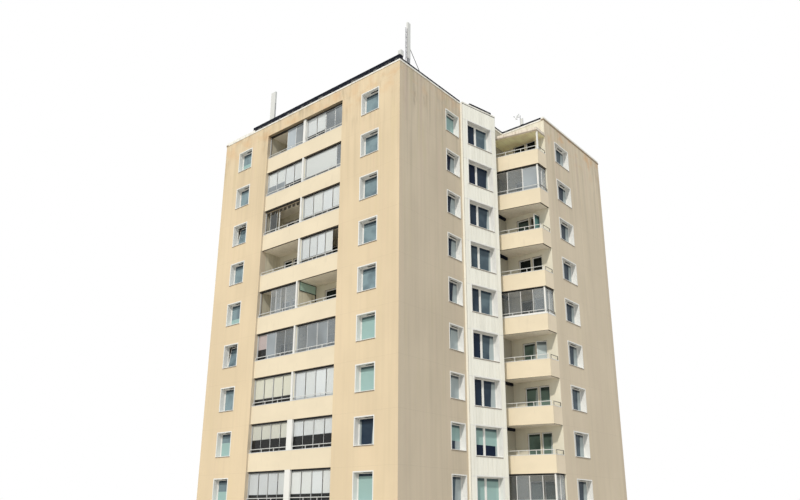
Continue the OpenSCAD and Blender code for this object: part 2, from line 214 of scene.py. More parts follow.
def levels(floors, parapets, top):
    """Each floor and its height, with the height of its room, its storey and its parapet's height."""
    tops = {storey_of(span(s, 2)[1]): span(s, 2)[1] for s in parapets}
    for floor in floors:
        z = span(floor, 2)[1]
        storey = storey_of(z + STOREY / 2)
        above = [span(s, 2)[0] for s in floors if span(s, 2)[0] > z + 1]
        yield floor, z, (min(above, default=top) - z, storey, tops[storey] - z)


def loggia_rooms():
    """The front loggia's halves, storey by storey, seen from its parapet's inner face."""
    floors, parapets = ([s for s in solids_of(node) if span(s, 1)[0] < 0]
                        for node in ("loggia_floors", "loggia_parapets"))
    edges = sorted({round(span(s, 0)[0], 3) for s in floors})
    rooms = []
    for floor, z, rest in levels(floors, parapets, LOGGIA_TOP):
        x0, x1 = span(floor, 0)
        place = turned((1, 0), (x0, span(floor, 1)[0], z))
        rooms.append(Room(place, x1 - x0, edges.index(round(x0, 3)), *rest))
    return rooms


def balcony_rooms():
    """The right balconies' front and side lines, seen from their parapets' inner faces."""
    floors = [s for s in solids_of("balcony_floors") if span(s, 0)[0] > 0]
    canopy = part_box("balcony_canopies")[0].z
    rooms = []
    for floor, z, rest in levels(floors, solids_of("balcony_front_parapets"), canopy):
        corners = sorted({(round(p.x, 3), round(p.y, 3)) for p in floor}, key=lambda c: c[1])
        left, right = sorted(corners[:2])
        for part, start, end in (("front", left, right), ("side", right, max(corners[2:]))):
            place = turned(Vector(end) - Vector(start), (*start, z))
            rooms.append(Room(place, math.dist(start, end), part, *rest))
    return rooms


def both(items):
    """Every item with its place, and again with its place turned half round."""
    for turn, back in ((Matrix.Identity(4), False), (HALF_TURN, True)):
        for item in items:
            yield item, turn @ item.place, back


def circle(count):
    """Points evenly round a circle of radius 1."""
    turns = (2 * math.pi * i / count for i in range(count))
    return [(math.cos(t), math.sin(t)) for t in turns]


def band(count, here, there):
    """Faces between two rings of points, given the number of each ring's first point."""
    return [(here + i, here + (i + 1) % count, there + (i + 1) % count, there + i) for i in range(count)]


def bar_faces(count, rings):
    """Faces of a bar through rings of points: the bands between them and its two ends."""
    faces = [face for ring in range(rings - 1) for face in band(count, ring * count, (ring + 1) * count)]
    return faces + [range(count)[::-1], range((rings - 1) * count, rings * count)]


class Shape:
    """Collects the solids of one piece, with two triples on each point for its material to read."""

    def __init__(self):
        self.points, self.faces, self.spots, self.looks = [], [], [], []

    def add(self, place, points, faces, spots=None, look=BLANK):
        start = len(self.points)
        self.points += at(place, *points)
        self.faces += [[start + i for i in face] for face in faces]
        self.spots += spots or [BLANK] * len(points)
        self.looks += [look] * len(points)

    def block(self, place, u, v, w, look=BLANK, cover=0.0):
        """A box, from and to along u, v and w. Its spots run from 0 to 1 over its face, with its cover."""
        points = [(a, b, c) for c in w for b in v for a in u]
        spots = [(a, b, cover) for _ in w for b in (0, 1) for a in (0, 1)]
        faces = [(0, 2, 3, 1), (4, 5, 7, 6), (0, 1, 5, 4), (2, 6, 7, 3), (0, 4, 6, 2), (1, 3, 7, 5)]
        self.add(place, points, faces, spots, look)

    def run(self, place, outline, start, end, upright=False, look=BLANK):
        """An outline in v and w drawn out along u, or an upright one in u and w drawn up along v."""
        points = [(a, t, w) if upright else (t, a, w) for t in (start, end) for a, w in outline]
        self.add(place, points, bar_faces(len(outline), 2), look=look)

    def ring(self, place, u, v, profile):
        """A closed profile of insets and w, carried round a rectangle with mitred corners."""
        points = []
        for a, b in ((0, 0), (1, 0), (1, 1), (0, 1)):
            points += [(u[a] + inset * (1 - 2 * a), v[b] + inset * (1 - 2 * b), w) for inset, w in profile]
        count = len(profile)
        self.add(place, points, [face for side in range(4)
                                 for face in band(count, side * count, (side + 1) % 4 * count)])

    def pleats(self, place, u, v, w, pitch, depth, look):
        """A blind folded in level pleats between two heights."""
        folds = max(2, round((v[1] - v[0]) / pitch) * 2)
        heights = [v[1] + (v[0] - v[1]) * i / folds for i in range(folds + 1)]
        points = [(a, b, w - depth * (i % 2)) for i, b in enumerate(heights) for a in u]
        faces = [(2 * i, 2 * i + 2, 2 * i + 3, 2 * i + 1) for i in range(folds)]
        self.add(place, points, faces, [(a, i / folds, 0) for i in range(folds + 1) for a in (0, 1)], look)

    def tube(self, points, radius, sides):
        """A round bar through points, given in the frame of the block."""
        rings = []
        for i, point in enumerate(points):
            ahead = (points[min(i + 1, len(points) - 1)] - points[max(i - 1, 0)]).normalized()
            across = ahead.orthogonal().normalized()
            over = ahead.cross(across)
            rings += [point + radius * (a * across + b * over) for a, b in circle(sides)]
        self.add(Matrix.Identity(4), rings, bar_faces(sides, len(points)))

    def piece(self, name, material, slot, bevel=0.0, smooth=False):
        """Makes the Blender object, which rides on the block and takes the given material; the slot is not
        used.
        """
        mesh = bpy.data.meshes.new(name)
        mesh.from_pydata([tuple(p) for p in self.points], [], self.faces)
        for label, values in (("spot", self.spots), ("look", self.looks)):
            layer = mesh.attributes.new(label, "FLOAT_VECTOR", "POINT")
            layer.data.foreach_set("vector", [c for value in values for c in value])
        tidy = bmesh.new()
        tidy.from_mesh(mesh)
        bmesh.ops.recalc_face_normals(tidy, faces=tidy.faces)
        tidy.to_mesh(mesh)
        tidy.free()
        mesh.materials.append(material)
        made = bpy.data.objects.new(name, mesh)
        bpy.context.scene.collection.objects.link(made)
        if smooth:
            mesh.shade_smooth()
        if bevel:
            edge = made.modifiers.new("edges", "BEVEL")
            edge.width, edge.segments, edge.limit_method = bevel, 2, "ANGLE"
        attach(made, BODY)
        return made


def math_node(operation, swapped=False):
    """A method for an operator of Value, which adds a Math node."""
    def method(value, *others):
        inputs = (*others, value) if swapped else (value, *others)
        return value.finish.node("ShaderNodeMath", {"operation": operation}, dict(enumerate(inputs)))
    return method


class Value:
    """A node's output. Python's operators on it add Math nodes."""

    def __init__(self, finish, socket):
        self.finish, self.socket = finish, socket

    __add__ = __radd__ = math_node("ADD")
    __sub__ = math_node("SUBTRACT")
    __rsub__ = math_node("SUBTRACT", swapped=True)
    __mul__ = __rmul__ = math_node("MULTIPLY")
    __truediv__ = math_node("DIVIDE")
    __mod__ = math_node("FLOORED_MODULO")
    __gt__ = math_node("GREATER_THAN")
    __abs__ = math_node("ABSOLUTE")


def shade(colour, amount):
    """A colour made darker or lighter."""
    return tuple(min(1.0, c * amount) for c in colour)


class Finish:
    """A procedural material in the making, with one method for every kind of node."""

    def __init__(self, name, roughness=0.6, metallic=0.0, specular=0.5):
        self.material = bpy.data.materials.new(name)
        self.material.use_nodes = True
        self.tree = self.material.node_tree
        self.shader = self.tree.nodes["Principled BSDF"]
        self.set("Roughness", roughness)
        self.set("Metallic", metallic)
        self.set("Specular IOR Level", specular)
        self.place = self.node("ShaderNodeTexCoord", output="Object")
        self.base = None

    def node(self, kind, settings=None, sockets=None, output=0):
        """Adds a node: its settings are set first, then the values or links of its sockets."""
        made = self.tree.nodes.new(kind)
        for key, value in (settings or {}).items():
            setattr(made, key, value)
        for key, value in (sockets or {}).items():
            self.join(value, made.inputs[key])
        return Value(self, made.outputs[output])

    def join(self, value, socket):
        """Links a socket to a value, or sets it."""
        if isinstance(value, Value):
            self.tree.links.new(value.socket, socket)
        elif hasattr(value, "__len__") and socket.type == "RGBA":
            socket.default_value = (*value[:3], 1)
        else:
            socket.default_value = value

    def set(self, socket, value):
        """Gives the shader a value."""
        self.join(value, self.shader.inputs[socket])

    def parts(self, vector):
        """The three numbers of a vector."""
        first = self.node("ShaderNodeSeparateXYZ", sockets={0: vector})
        return [Value(self, socket) for socket in first.socket.node.outputs]

    def along(self, axis):
        """The coordinate along an axis, in metres."""
        return self.parts(self.place)[axis]

    def facing(self, axis):
        """How far the surface faces along an axis of the block, from -1 to 1."""
        return self.parts(self.node("ShaderNodeNewGeometry", output="Normal"))[axis]

    def underside(self):
        """1 on undersides, 0 elsewhere."""
        return self.ramp(self.facing(2), -0.8, -0.5, 1.0, 0.0)

    def noted(self, label):
        """The three numbers of a triple that the piece's points carry."""
        return self.parts(self.node("ShaderNodeAttribute", {"attribute_name": label}, output="Vector"))

    def noise(self, scale, down=1.0, detail=3.0, shift=BLANK):
        """Cloudy values about 0.5, with scale waves to the metre, and down times as many up the height."""
        scaled = self.node("ShaderNodeVectorMath", {"operation": "MULTIPLY_ADD"},
                           {0: self.place, 1: (1, 1, down), 2: shift})
        return self.node("ShaderNodeTexNoise", sockets={"Vector": scaled, "Scale": scale, "Detail": detail})

    def ramp(self, value, low, high, start=0.0, end=1.0):
        """Runs smoothly from start to end as the value goes from low to high."""
        return self.node("ShaderNodeMapRange", {"interpolation_type": "SMOOTHSTEP"},
                         {"Value": value, "From Min": low, "From Max": high, "To Min": start, "To Max": end})

    def blend(self, factor, first, second):
        """Mixes two colours."""
        return self.node("ShaderNodeMix", {"data_type": "RGBA"}, {0: factor, 6: first, 7: second}, 2)

    def mottle(self, cloud, colour, dark, light):
        """Starts the surface's colour, between a darker and a lighter tone."""
        self.base = self.blend(cloud, shade(colour, dark), shade(colour, light))

    def over(self, factor, colour):
        """Lays a colour over what the surface has so far."""
        self.base = self.blend(factor, self.base, colour)

    def line(self, value, pitch, width, offset=0.0):
        """1 on lines that repeat every pitch, 0 between them."""
        away = abs((value / pitch + (0.5 - offset / pitch)) % 1.0 - 0.5) * pitch
        return 1.0 - self.ramp(away, width * 0.4, width)

    def done(self, height, strength, distance):
        """Joins the colour and a bump to the shader and gives the material."""
        self.set("Base Color", self.base)
        self.set("Normal", self.node("ShaderNodeBump", sockets={"Strength": strength, "Distance": distance,
                                                                "Height": height}))
        return self.material


RUST = (0.66, 0.40, 0.2)


def render_finish(name, colour, stain, runs=0.5, grime_and_underside_shade=0.4, rust=0.4, seam=None, ends=None):
    """Painted render on precast panels: rain streaks, blotches, faint joints and a fine grain, with painted
    shade on its undersides.

    runs, grime and rust are the strengths of the long streaks, of the grey smears below the roof
    and of the orange-brown patches there. A seam is an axis and a place on it where panels meet.
    ends is the colour of faces that look along X, if it differs: a darker copy, painted shade on them."""
    f = Finish(name, roughness=0.92, specular=0.15)
    red, green, blue = colour
    height = f.along(2)
    f.mottle(f.ramp(f.noise(0.35, 0.6, 3.0, (7, 3, 0)), 0.35, 0.68), colour, 0.96, 1.035)
    # Painted shade on faces that look along X
    if ends:
        f.over(f.ramp(abs(f.facing(0)), 0.8, 0.95), ends)
    weather = f.ramp(height, WALL_TOP - 9.0, WALL_TOP) * 0.7 + 0.3
    # Streaks over one another: their noise, the values that it fades between, their strength and colour
    for noise, low, high, strength, tint in (
        ((3.4, 0.05, 4.0, (5, 1, 8)), 0.5, 0.72, 0.55, shade(colour, 1.13)),
        ((2.2, 0.05, 3.0, (8, 2, 5)), 0.52, 0.68, 0.5, (red, green * 0.9, blue * 0.98)),
        ((2.8, 0.07, 3.0, (6, 6, 1)), 0.54, 0.7, 0.5, (red * 0.9, green * 0.93, blue * 0.72)),
        ((5.0, 0.03, 4.0), 0.45, 0.7, 0.5, stain),
        ((1.9, 0.04, 3.0, (3, 9, 1)), 0.5, 0.72, 0.45, stain),
    ):
        f.over(f.ramp(f.noise(*noise), low, high) * weather * (runs * strength), tint)
    smear = f.ramp(f.noise(1.5, 0.4, 5.0, (4, 4, 4)), 0.46, 0.68)
    drips = f.ramp(f.noise(6.0, 0.12, 4.0, (2, 6, 0)), 0.3, 0.62)
    top = f.ramp(height, WALL_TOP - 4.2, WALL_TOP - 0.2)
    corner = f.ramp(abs(f.along(1)), FACE_Y - 3.2, FACE_Y - 1.2, 0.3, 1.0)
    f.over(smear * drips * top * corner * grime_and_underside_shade, shade(stain, 0.55))
    patches = f.ramp(f.noise(1.1, 1.3, 5.0, (1, 4, 2)), 0.46, 0.7)
    f.over(patches * f.ramp(height, WALL_TOP - 2.4, WALL_TOP - 0.5) * rust, RUST)
    f.over((1.0 - f.ramp(height, 0.1, 0.9)) * 0.35, shade(stain, 0.8))
    joints = f.line(height, STOREY, 0.012, STOREY * 0.93)
    if seam:
        joints = joints + (1.0 - f.ramp(abs(f.along(seam[0]) - seam[1]), 0.006, 0.014)) * 0.7
    f.over(joints * 0.16, shade(stain, 0.7))
    # Painted shade: undersides darker
    f.over(f.underside() * 0.8, shade(stain, 0.45))
    return f.done(f.noise(95.0, detail=4.0) + f.noise(14.0) * 0.8 - joints * 0.8, 0.22, 0.006)


def parapet_finish(name, colour, under):
    """Smooth painted concrete with soft runs below its top edge, and painted shade on its underside."""
    f = Finish(name, roughness=0.85, specular=0.2)
    f.mottle(f.ramp(f.noise(0.6, 1.5), 0.35, 0.7), colour, 0.97, 1.02)
    f.over(f.ramp(f.noise(5.0, 0.25, 4.0), 0.56, 0.75) * 0.2, shade(colour, 0.75))
    # Painted shade on the underside
    f.over(f.underside(), under)
    return f.done(f.noise(70.0) + f.noise(6.0) * 0.4, 0.14, 0.005)


def concrete_finish(name, colour):
    """Bare or thinly painted concrete, with board marks and damp patches."""
    f = Finish(name, roughness=0.88, specular=0.25)
    marks = f.line(f.along(0), 0.6, 0.006)
    f.mottle(f.ramp(f.noise(9.0, detail=4.0), 0.3, 0.75), colour, 0.92, 1.06)
    f.over(f.ramp(f.noise(1.3, detail=5.0), 0.45, 0.72) * 0.35, shade(colour, 0.72))
    f.over(marks * 0.3, shade(colour, 0.6))
    return f.done(f.noise(45.0, detail=4.0) - marks, 0.25, 0.006)


def lining_board_finish(name, colour):
    """Narrow upright boards painted pale, with dirt in their joints."""
    f = Finish(name, roughness=0.7, specular=0.3)
    joint = f.line(f.along(1), 0.12, 0.012)
    f.mottle(f.ramp(f.noise(8.0, 0.02, 2.0), 0.35, 0.65), colour, 0.9, 1.05)
    f.over(joint * 0.6, shade(colour, 0.45))
    return f.done(1.0 - joint, 0.5, 0.008)


def board_finish(name, colour, dull):
    """White painted boards, each a little different, dulled where rain runs."""
    f = Finish(name, specular=0.4)
    runs = f.ramp(f.noise(7.0, 0.06, 4.0), 0.45, 0.75)
    f.mottle(f.noted("look")[0], colour, 0.95, 1.02)
    f.over(runs * 0.3, dull)
    f.set("Roughness", f.ramp(runs, 0, 1, 0.5, 0.68))
    return f.done(f.noise(60.0, 0.08), 0.12, 0.003)


def metal_finish(name, colour, roughness=0.4, metallic=0.0, dirt=0.25, specular=0.4, sides=None):
    """Coated or bare metal, with dirt gathered in patches. sides is a dark colour for the balconies' side
    rails: painted shade.
    """
    f = Finish(name, metallic=metallic, specular=specular)
    dust = f.ramp(f.noise(3.5, 0.6, 5.0), 0.45, 0.75)
    f.mottle(f.noise(22.0), colour, 0.95, 1.03)
    # Painted shade on the balconies' side rails
    if sides:
        f.over(abs(f.along(0)) > SIDE_RAIL_X, sides)
    f.over(dust * dirt, shade(colour, 0.6))
    f.set("Roughness", f.ramp(dust, 0, 1, roughness, min(1.0, roughness + 0.25)))
    return f.done(f.noise(30.0, detail=2.0), 0.05, 0.002)


def edge_finish(name, colour, gable, ends):
    """Sheet round the roof, in other colours over the gables and the outer ends of the front and back."""
    f = Finish(name, roughness=0.6, specular=0.1)
    across, deep = abs(f.along(0)), abs(f.along(1))
    f.base = f.blend((across > FACE_X + 0.1) * (deep > FACE_Y - 0.3), colour, ends)
    # Over the gables the sheet takes the gable colour; on the trim that colour is a painted shadow below the
    # roof's edge
    f.over(across > GABLE_X - 0.2, gable)
    f.over(f.ramp(f.noise(4.0, detail=4.0), 0.45, 0.7) * 0.3, shade(gable, 0.6))
    return f.done(f.noise(30.0, detail=2.0), 0.05, 0.002)


def roofing_finish(name, colour, under):
    """Bitumen felt in strips a metre wide, with grit, and a painted ceiling below it."""
    f = Finish(name, roughness=0.95, specular=0.2)
    laps = f.line(f.along(0), 1.0, 0.03)
    grit = f.noise(120.0)
    f.mottle(grit, colour, 0.7, 1.4)
    f.over(f.ramp(f.noise(0.8, detail=5.0), 0.45, 0.7) * 0.5, shade(colour, 1.7))
    f.over(laps * 0.5, shade(colour, 0.5))
    f.over(f.underside(), under)
    return f.done(grit + laps * 2.0, 0.4, 0.006)


def pane_finish(name, dark, sky, curtain, screen):
    """Window glass seen from outside, painted on an opaque pane: the dim room as painted shade, pale curtains
    by its edges, a painted reflection of the sky and a painted shadow along the top.

    The look triple holds the share of the painted reflection of the sky, the curtain's share and a number of
    its own. The spot's third number is the share of the pane that a blind covers, from below, or from above
    if it is negative."""
    f = Finish(name, roughness=0.05, specular=0.08)
    across, up, cover = f.noted("spot")
    share, drawn, own = f.noted("look")
    wave = f.node("ShaderNodeTexNoise", {"noise_dimensions": "4D"},
                  {"Vector": f.place, "W": own * 9.0, "Scale": 1.3, "Detail": 2.0})
    # Painted reflection of the sky over the dim room, which is painted shade
    f.base = f.blend(share * f.ramp(wave + (up - across) * 0.12, 0.32, 0.62, 0.66, 1.08), dark, sky)
    folds = f.node("ShaderNodeTexWave", {"wave_type": "BANDS", "bands_direction": "X"},
                   {"Vector": f.node("ShaderNodeCombineXYZ", sockets={0: across + own, 1: up * 0.05}),
                    "Scale": 3.6, "Distortion": 1.5, "Detail": 1.0})
    cloth = f.blend(folds, shade(curtain, 0.72), curtain)
    edge = 1.0 - drawn * 0.8 + (up * up) * 0.12
    f.over(f.ramp(across + wave * 0.05, edge, edge + 0.05) * (drawn > 0.01) * 0.85, cloth)
    f.over((own > 0.6) * (1.0 - f.ramp(across, drawn * 0.25, drawn * 0.25 + 0.04)) * 0.6, cloth)
    f.over(((cover > up) + (cover * -1.0 > 1.0 - up)) * 0.9, screen)
    # Painted shadow of the window head along the top of the pane
    f.over(f.ramp(up, 0.86, 0.93) * 0.75, shade(dark, 0.8))
    return f.done(f.noise(0.9, detail=1.0), 0.02, 0.05)


def sliding_glass_finish(name, tint, milky):
    """Loose sliding panes that the space behind shows through, dusty towards the bottom.

    The look triple holds how much the pane hides, how milky it is and a number of its own. The spot's third
    number is how far up the pane the dim gap below a blind reaches; there the pane is less clear and, below a
    high blind, darker: painted shade."""
    f = Finish(name, roughness=0.06, specular=0.3)
    _, up, gap = f.noted("spot")
    hiding, pale, own = f.noted("look")
    cloud = f.ramp(f.noise(0.45, 0.8, 1.5) + own * 0.16, 0.4, 0.75)
    below = gap > up
    open_foot = below * (gap > 0.3)
    f.base = f.blend(pale, tint, milky)
    f.over(cloud * 0.4 * (pale > 0.2), shade(milky, 0.85))
    # Painted shade below a raised blind: the pane darker
    f.over(open_foot * (1.0 - (pale > 0.2)), shade(tint, 0.2))
    f.set("Base Color", f.base)
    thick = (cloud * 0.4 + own * 0.3 + 0.7) * hiding
    # Less clear below a blind: painted shade
    f.set("Alpha", thick + (1.0 - up) * 0.02 + below * 0.38 + open_foot * 0.3)
    return f.material


def blind_finish(name, colour, cream, rose):
    """Pleated blinds; the look's numbers lean them to cream, dull them and lean them to rose."""
    f = Finish(name, roughness=0.8, specular=0.3)
    warm, dull, red = f.noted("look")
    weave = f.noise(180.0, 0.4, 2.0)
    f.base = f.blend(warm, colour, cream)
    f.over(dull, shade(colour, 0.5))
    f.over(red, rose)
    f.over(weave * 0.25, shade(colour, 0.85))
    return f.done(weave, 0.1, 0.001)


def cloth_finish(name, colour, hem):
    """Woven awning cloth, whose scalloped hem is dark."""
    f = Finish(name, roughness=0.9, specular=0.2)
    f.set("Sheen Weight", 0.05)
    weave = f.noise(260.0, detail=2.0)
    f.mottle(f.ramp(f.noise(1.6), 0.3, 0.7), colour, 0.9, 1.05)
    f.over(f.ramp(f.noted("spot")[1], 0.3, 0.34), hem)
    f.over(weave * 0.3, shade(colour, 0.6))
    return f.done(weave, 0.2, 0.001)


def canopy_finish(name, colour, drip, under, low, high):
    """Painted sheet with brown drips, partly painted shade along the foot of its edge, and a yellow underside
    whose colour is partly painted light.
    """
    f = Finish(name, roughness=0.7, specular=0.3)
    seams = f.line(f.along(0), 0.42, 0.014)
    # The underside's yellow is its paint and partly painted light thrown up onto it
    f.mottle(f.ramp(f.noise(1.2, detail=4.0), 0.35, 0.7), under, 0.85, 1.1)
    f.over(seams * 0.35, shade(under, 0.5))
    below = f.base
    f.base = f.blend(f.ramp(f.noise(7.0, 0.2, 4.0), 0.5, 0.68) * 0.4, colour, drip)
    # Dark foot of the edge: a drip edge and its shade, partly painted shade
    foot = 1.0 - f.ramp(f.along(2), low + (high - low) * 0.3, low + (high - low) * 0.45)
    f.over(foot * 0.75, shade(drip, 0.5))
    f.over(f.underside(), below)
    return f.done(f.noise(20.0) - seams, 0.15, 0.004)


def colour_prop(name, description, default):
    return FloatVectorProperty(name=name, description=description, subtype="COLOR", size=3,
                               min=0.0, max=1.0, default=default)


def length_prop(name, description, default):
    return FloatProperty(name=name, description=description, subtype="DISTANCE", unit="LENGTH",
                         min=0.0, default=default)


class BlockColours(bpy.types.PropertyGroup):
    """Colours of the block's finishes"""

    render: colour_prop("Render", "Paint on the front and back walls", (0.708, 0.583, 0.405))
    # Painted shade: the render's darker copy for the walls that face away from the key light
    side_render: colour_prop("Side render", "Paint on the side and gable walls", (0.598, 0.518, 0.405))
    stain: colour_prop("Stain", "Rain streaks on the walls", (0.43, 0.35, 0.24))
    side_stain: colour_prop("Side stain", "Rain streaks on the side walls", (0.365, 0.32, 0.25))
    parapet: colour_prop("Parapets", "Paint on the parapets", (0.768, 0.675, 0.512))
    nook: colour_prop("Nook", "Paint on the walls behind the balconies", (0.78, 0.745, 0.625))
    inner: colour_prop("Loggia walls", "Paint on the walls inside the loggias", (0.70, 0.66, 0.53))
    boards: colour_prop("Boards", "Paint on the bays' boards", (0.865, 0.86, 0.79))
    dull_boards: colour_prop("Dull boards", "That paint where rain runs", (0.6, 0.58, 0.5))
    frames: colour_prop("Frames", "Window frames, linings and sills", (0.80, 0.80, 0.78))
    trim: colour_prop("Trim", "Sheet along the tops of the walls", (0.84, 0.83, 0.78))
    # Painted shade on the rails at the balconies' sides
    shaded_side_rail: colour_prop("Side rails", "Dull rails at the balconies' sides", (0.12, 0.11, 0.095))
    # Painted shadow below the roof's edge, on the trim over the gables
    gable_trim_shade: colour_prop("Shadowed trim", "Shaded trim over the gables", (0.32, 0.25, 0.18))
    ceiling: colour_prop("Ceilings", "Ceilings of the loggias", (0.90, 0.84, 0.73))
    soffit: colour_prop("Soffits", "Undersides of balconies and floors", (0.86, 0.80, 0.70))
    # Painted shade on the parapets' undersides
    grime_and_underside_shade: colour_prop("Underside shade", "Undersides of parapets", (0.10, 0.085, 0.065))
    roofing: colour_prop("Roofing", "Felt on the flat roof", (0.07, 0.07, 0.075))
    rail: colour_prop("Rails", "Handrails and cappings", (0.72, 0.73, 0.72))
    bars: colour_prop("Glazing bars", "Frames of the sliding panels", (0.58, 0.60, 0.61))
    # Near black: the tracks' own dark colour, and partly painted shade under the parapets
    tracks: colour_prop("Tracks", "Tracks that the panels slide in", (0.022, 0.022, 0.024))
    black: colour_prop("Bands", "Dark sheet on the roof's edge", (0.004, 0.006, 0.014))
    canopy: colour_prop("Canopies", "Edge of the sheet over the top balconies", (0.74, 0.67, 0.58))
    canopy_drip: colour_prop("Canopy drips", "Brown drips on that edge", (0.36, 0.27, 0.17))
    # Partly painted light thrown up onto the canopies' undersides
    under_canopy: colour_prop("Under canopies", "Underside of that sheet", (1.0, 0.89, 0.58))
    # Painted on opaque panes: the dim rooms are painted shade, the daylight colours painted reflections of
    # the sky
    room: colour_prop("Rooms", "What is dim behind the panes", (0.004, 0.012, 0.034))
    dim: colour_prop("Rooms behind balconies", "What is dim behind the doors' panes", (0.014, 0.018, 0.016))
    sky: colour_prop("Panes", "Daylight in the panes", (0.225, 0.31, 0.345))
    green: colour_prop("Green panes", "Daylight in the balcony doors", (0.145, 0.215, 0.185))
    teal: colour_prop("Open doors", "Daylight in the panes of open doors", (0.12, 0.26, 0.26))
    curtain: colour_prop("Curtains", "Curtains behind the panes", (0.52, 0.59, 0.60))
    screen: colour_prop("Screens", "Blinds behind the window panes", (0.33, 0.49, 0.47))
    # Partly painted shade below the sills
    drip: colour_prop("Drip edges", "Drip edge below the sills", (0.20, 0.15, 0.10))
    blind: colour_prop("Blinds", "Pleated blinds in the loggias", (0.81, 0.855, 0.885))
    cream_blind: colour_prop("Cream blinds", "The warmer blinds", (0.80, 0.795, 0.67))
    rose_blind: colour_prop("Rose blind", "The blind with a rose tint", (0.55, 0.46, 0.45))
    clear: colour_prop("Clear glass", "Tint of the sliding panes", (0.07, 0.076, 0.078))
    milky: colour_prop("Milky glass", "Tint of the screened panes", (0.58, 0.65, 0.71))
    divider: colour_prop("Screen", "Pane that parts two loggias", (0.50, 0.70, 0.62))
    awning: colour_prop("Awning", "Cloth of the awning", (0.27, 0.215, 0.14))
    hem: colour_prop("Awning hem", "Scalloped hem of the awning", (0.006, 0.005, 0.004))
    door: colour_prop("Entrance", "Leaf of the entrance door", (0.10, 0.13, 0.15))
    mast: colour_prop("Mast", "Poles on the roof", (0.30, 0.31, 0.33))
    aerial: colour_prop("Aerials", "Shells of the aerials", (0.66, 0.67, 0.66))


class BlockSizes(bpy.types.PropertyGroup):
    """Sizes of the block's fine pieces"""

    rim: length_prop("Rim width", "Width of the lining's rim on the wall", 0.05)
    proud: length_prop("Rim height", "How far the rim stands out of the wall", 0.012)
    sheet: length_prop("Lining thickness", "Thickness of the lining's sheet", 0.008)
    sill_out: length_prop("Sill overhang", "How far a sill's nose stands out", 0.028)
    sill_past: length_prop("Sill ends", "How far a sill runs past the hole", 0.03)
    drip_h: length_prop("Drip height", "Height of the drip edge below a sill", 0.035)
    frame: length_prop("Frame width", "Width of a fixed window frame", 0.03)
    frame_t: length_prop("Frame thickness", "Thickness of a fixed window frame", 0.07)
    sash: length_prop("Sash width", "Width of an opening sash", 0.038)
    sash_t: length_prop("Sash thickness", "Half the thickness of a sash", 0.03)
    mullion: length_prop("Mullion width", "Width of the post between two lights", 0.09)
    board: length_prop("Board width", "Cover width of a bay's board", 0.25)
    board_t: length_prop("Board thickness", "How far boards stand on the bay", 0.018)
    board_gap: length_prop("Board gap", "Gap beside a board, and its chamfer", 0.006)
    joint: length_prop("Board joint", "Half the joint between two levels of boards", 0.012)
    head_track: length_prop("Head track", "Height of the track above the panels", 0.085)
    sill_track: length_prop("Sill track", "Height of the track below the panels", 0.05)
    panel_drop: length_prop("Panel drop", "How far the panels reach below the parapet's top", 0.25)
    panel_bar: length_prop("Panel bar", "Width of a sliding panel's bars", 0.018)
    pleat: length_prop("Pleat", "Height of a blind's pleat", 0.03)
    blind_gap: length_prop("Blind gap", "Height of a lowered blind above the parapet", 0.38)
    awning_drop: length_prop("Awning drop", "Height of the awning's cloth above its scallops", 0.1)
    scallop: length_prop("Scallop", "Height of the awning's scallops", 0.22)
    dish_r: length_prop("Dish radius", "Radius of the dish", 0.235)
    dish_d: length_prop("Dish depth", "Depth of the dish", 0.05)


class BlockStage(bpy.types.PropertyGroup):
    """Camera and light"""

    place: FloatVectorProperty(name="Camera place", description="Where the camera stands", size=3,
                               subtype="TRANSLATION", unit="LENGTH", default=(29.449, -36.997, 2.714))
    turn: FloatProperty(name="Turn", description="Camera's turn left of +Y, in degrees", default=39.924)
    tilt: FloatProperty(name="Tilt", description="Camera's tilt up, in degrees", default=17.742)
    roll: FloatProperty(name="Roll", description="Camera's roll, in degrees", default=0.259)
    lens: FloatProperty(name="Lens", description="Focal length in millimetres", default=32.419)
    lift: FloatProperty(name="Lift", description="Upward shift of the frame, in widths", default=0.05)
    sun: FloatProperty(name="Key light", description="Strength of the key light", default=2.3)
    sky: FloatProperty(name="Soft light", description="Strength of the soft light all round", default=0.72)


def colours():
    """The block's colours, as plain triples."""
    group = bpy.context.scene.block_colours
    return SimpleNamespace(**{name: getattr(group, name)[:] for name in group.__annotations__})


def sizes():
    return bpy.context.scene.block_sizes


def shared(name, make, *values):
    """A material made once and shared."""
    return bpy.data.materials.get(name) or make(name, *values)


# Metals: their colour, roughness, metallic share, dirt and specular level
METALS = {
    "white_coated_metal": ("frames", 0.35, 0.0, 0.12),
    "glazing_bars": ("bars", 0.35, 0.2, 0.2),
    "glazing_tracks": ("tracks", 0.45, 0.2, 0.4),
    "rail_metal": ("rail", 0.35, 0.1),
    "dark_sheet": ("black", 0.6, 0.0, 0.4, 0.1),
    "aerial_shell": ("aerial", 0.4, 0.0, 0.1),
    "mast_metal": ("mast", 0.45, 0.5),
    "door_leaf": ("door", 0.4),
    "drip_edge": ("drip", 0.5, 0.0, 0.3),
}


def metal(name):
    """A metal of the table, made once and shared."""
    colour, *values = METALS[name]
    return shared(name, metal_finish, getattr(colours(), colour), *values)


def white_piece(shape, name, *rest):
    return shape.piece(name, metal("white_coated_metal"), "white_metal", *rest)


def dark_piece(shape, name, *rest):
    return shape.piece(name, metal("dark_sheet"), "black_metal", *rest)


def dress(material, *nodes):
    """Gives CAD nodes that stay in view a material."""
    for node in nodes:
        slots = frame["nodes"][node].data.materials
        slots.clear()
        slots.append(material)


class Piece:
    """What the operators share"""

    bl_options = {"REGISTER", "UNDO"}


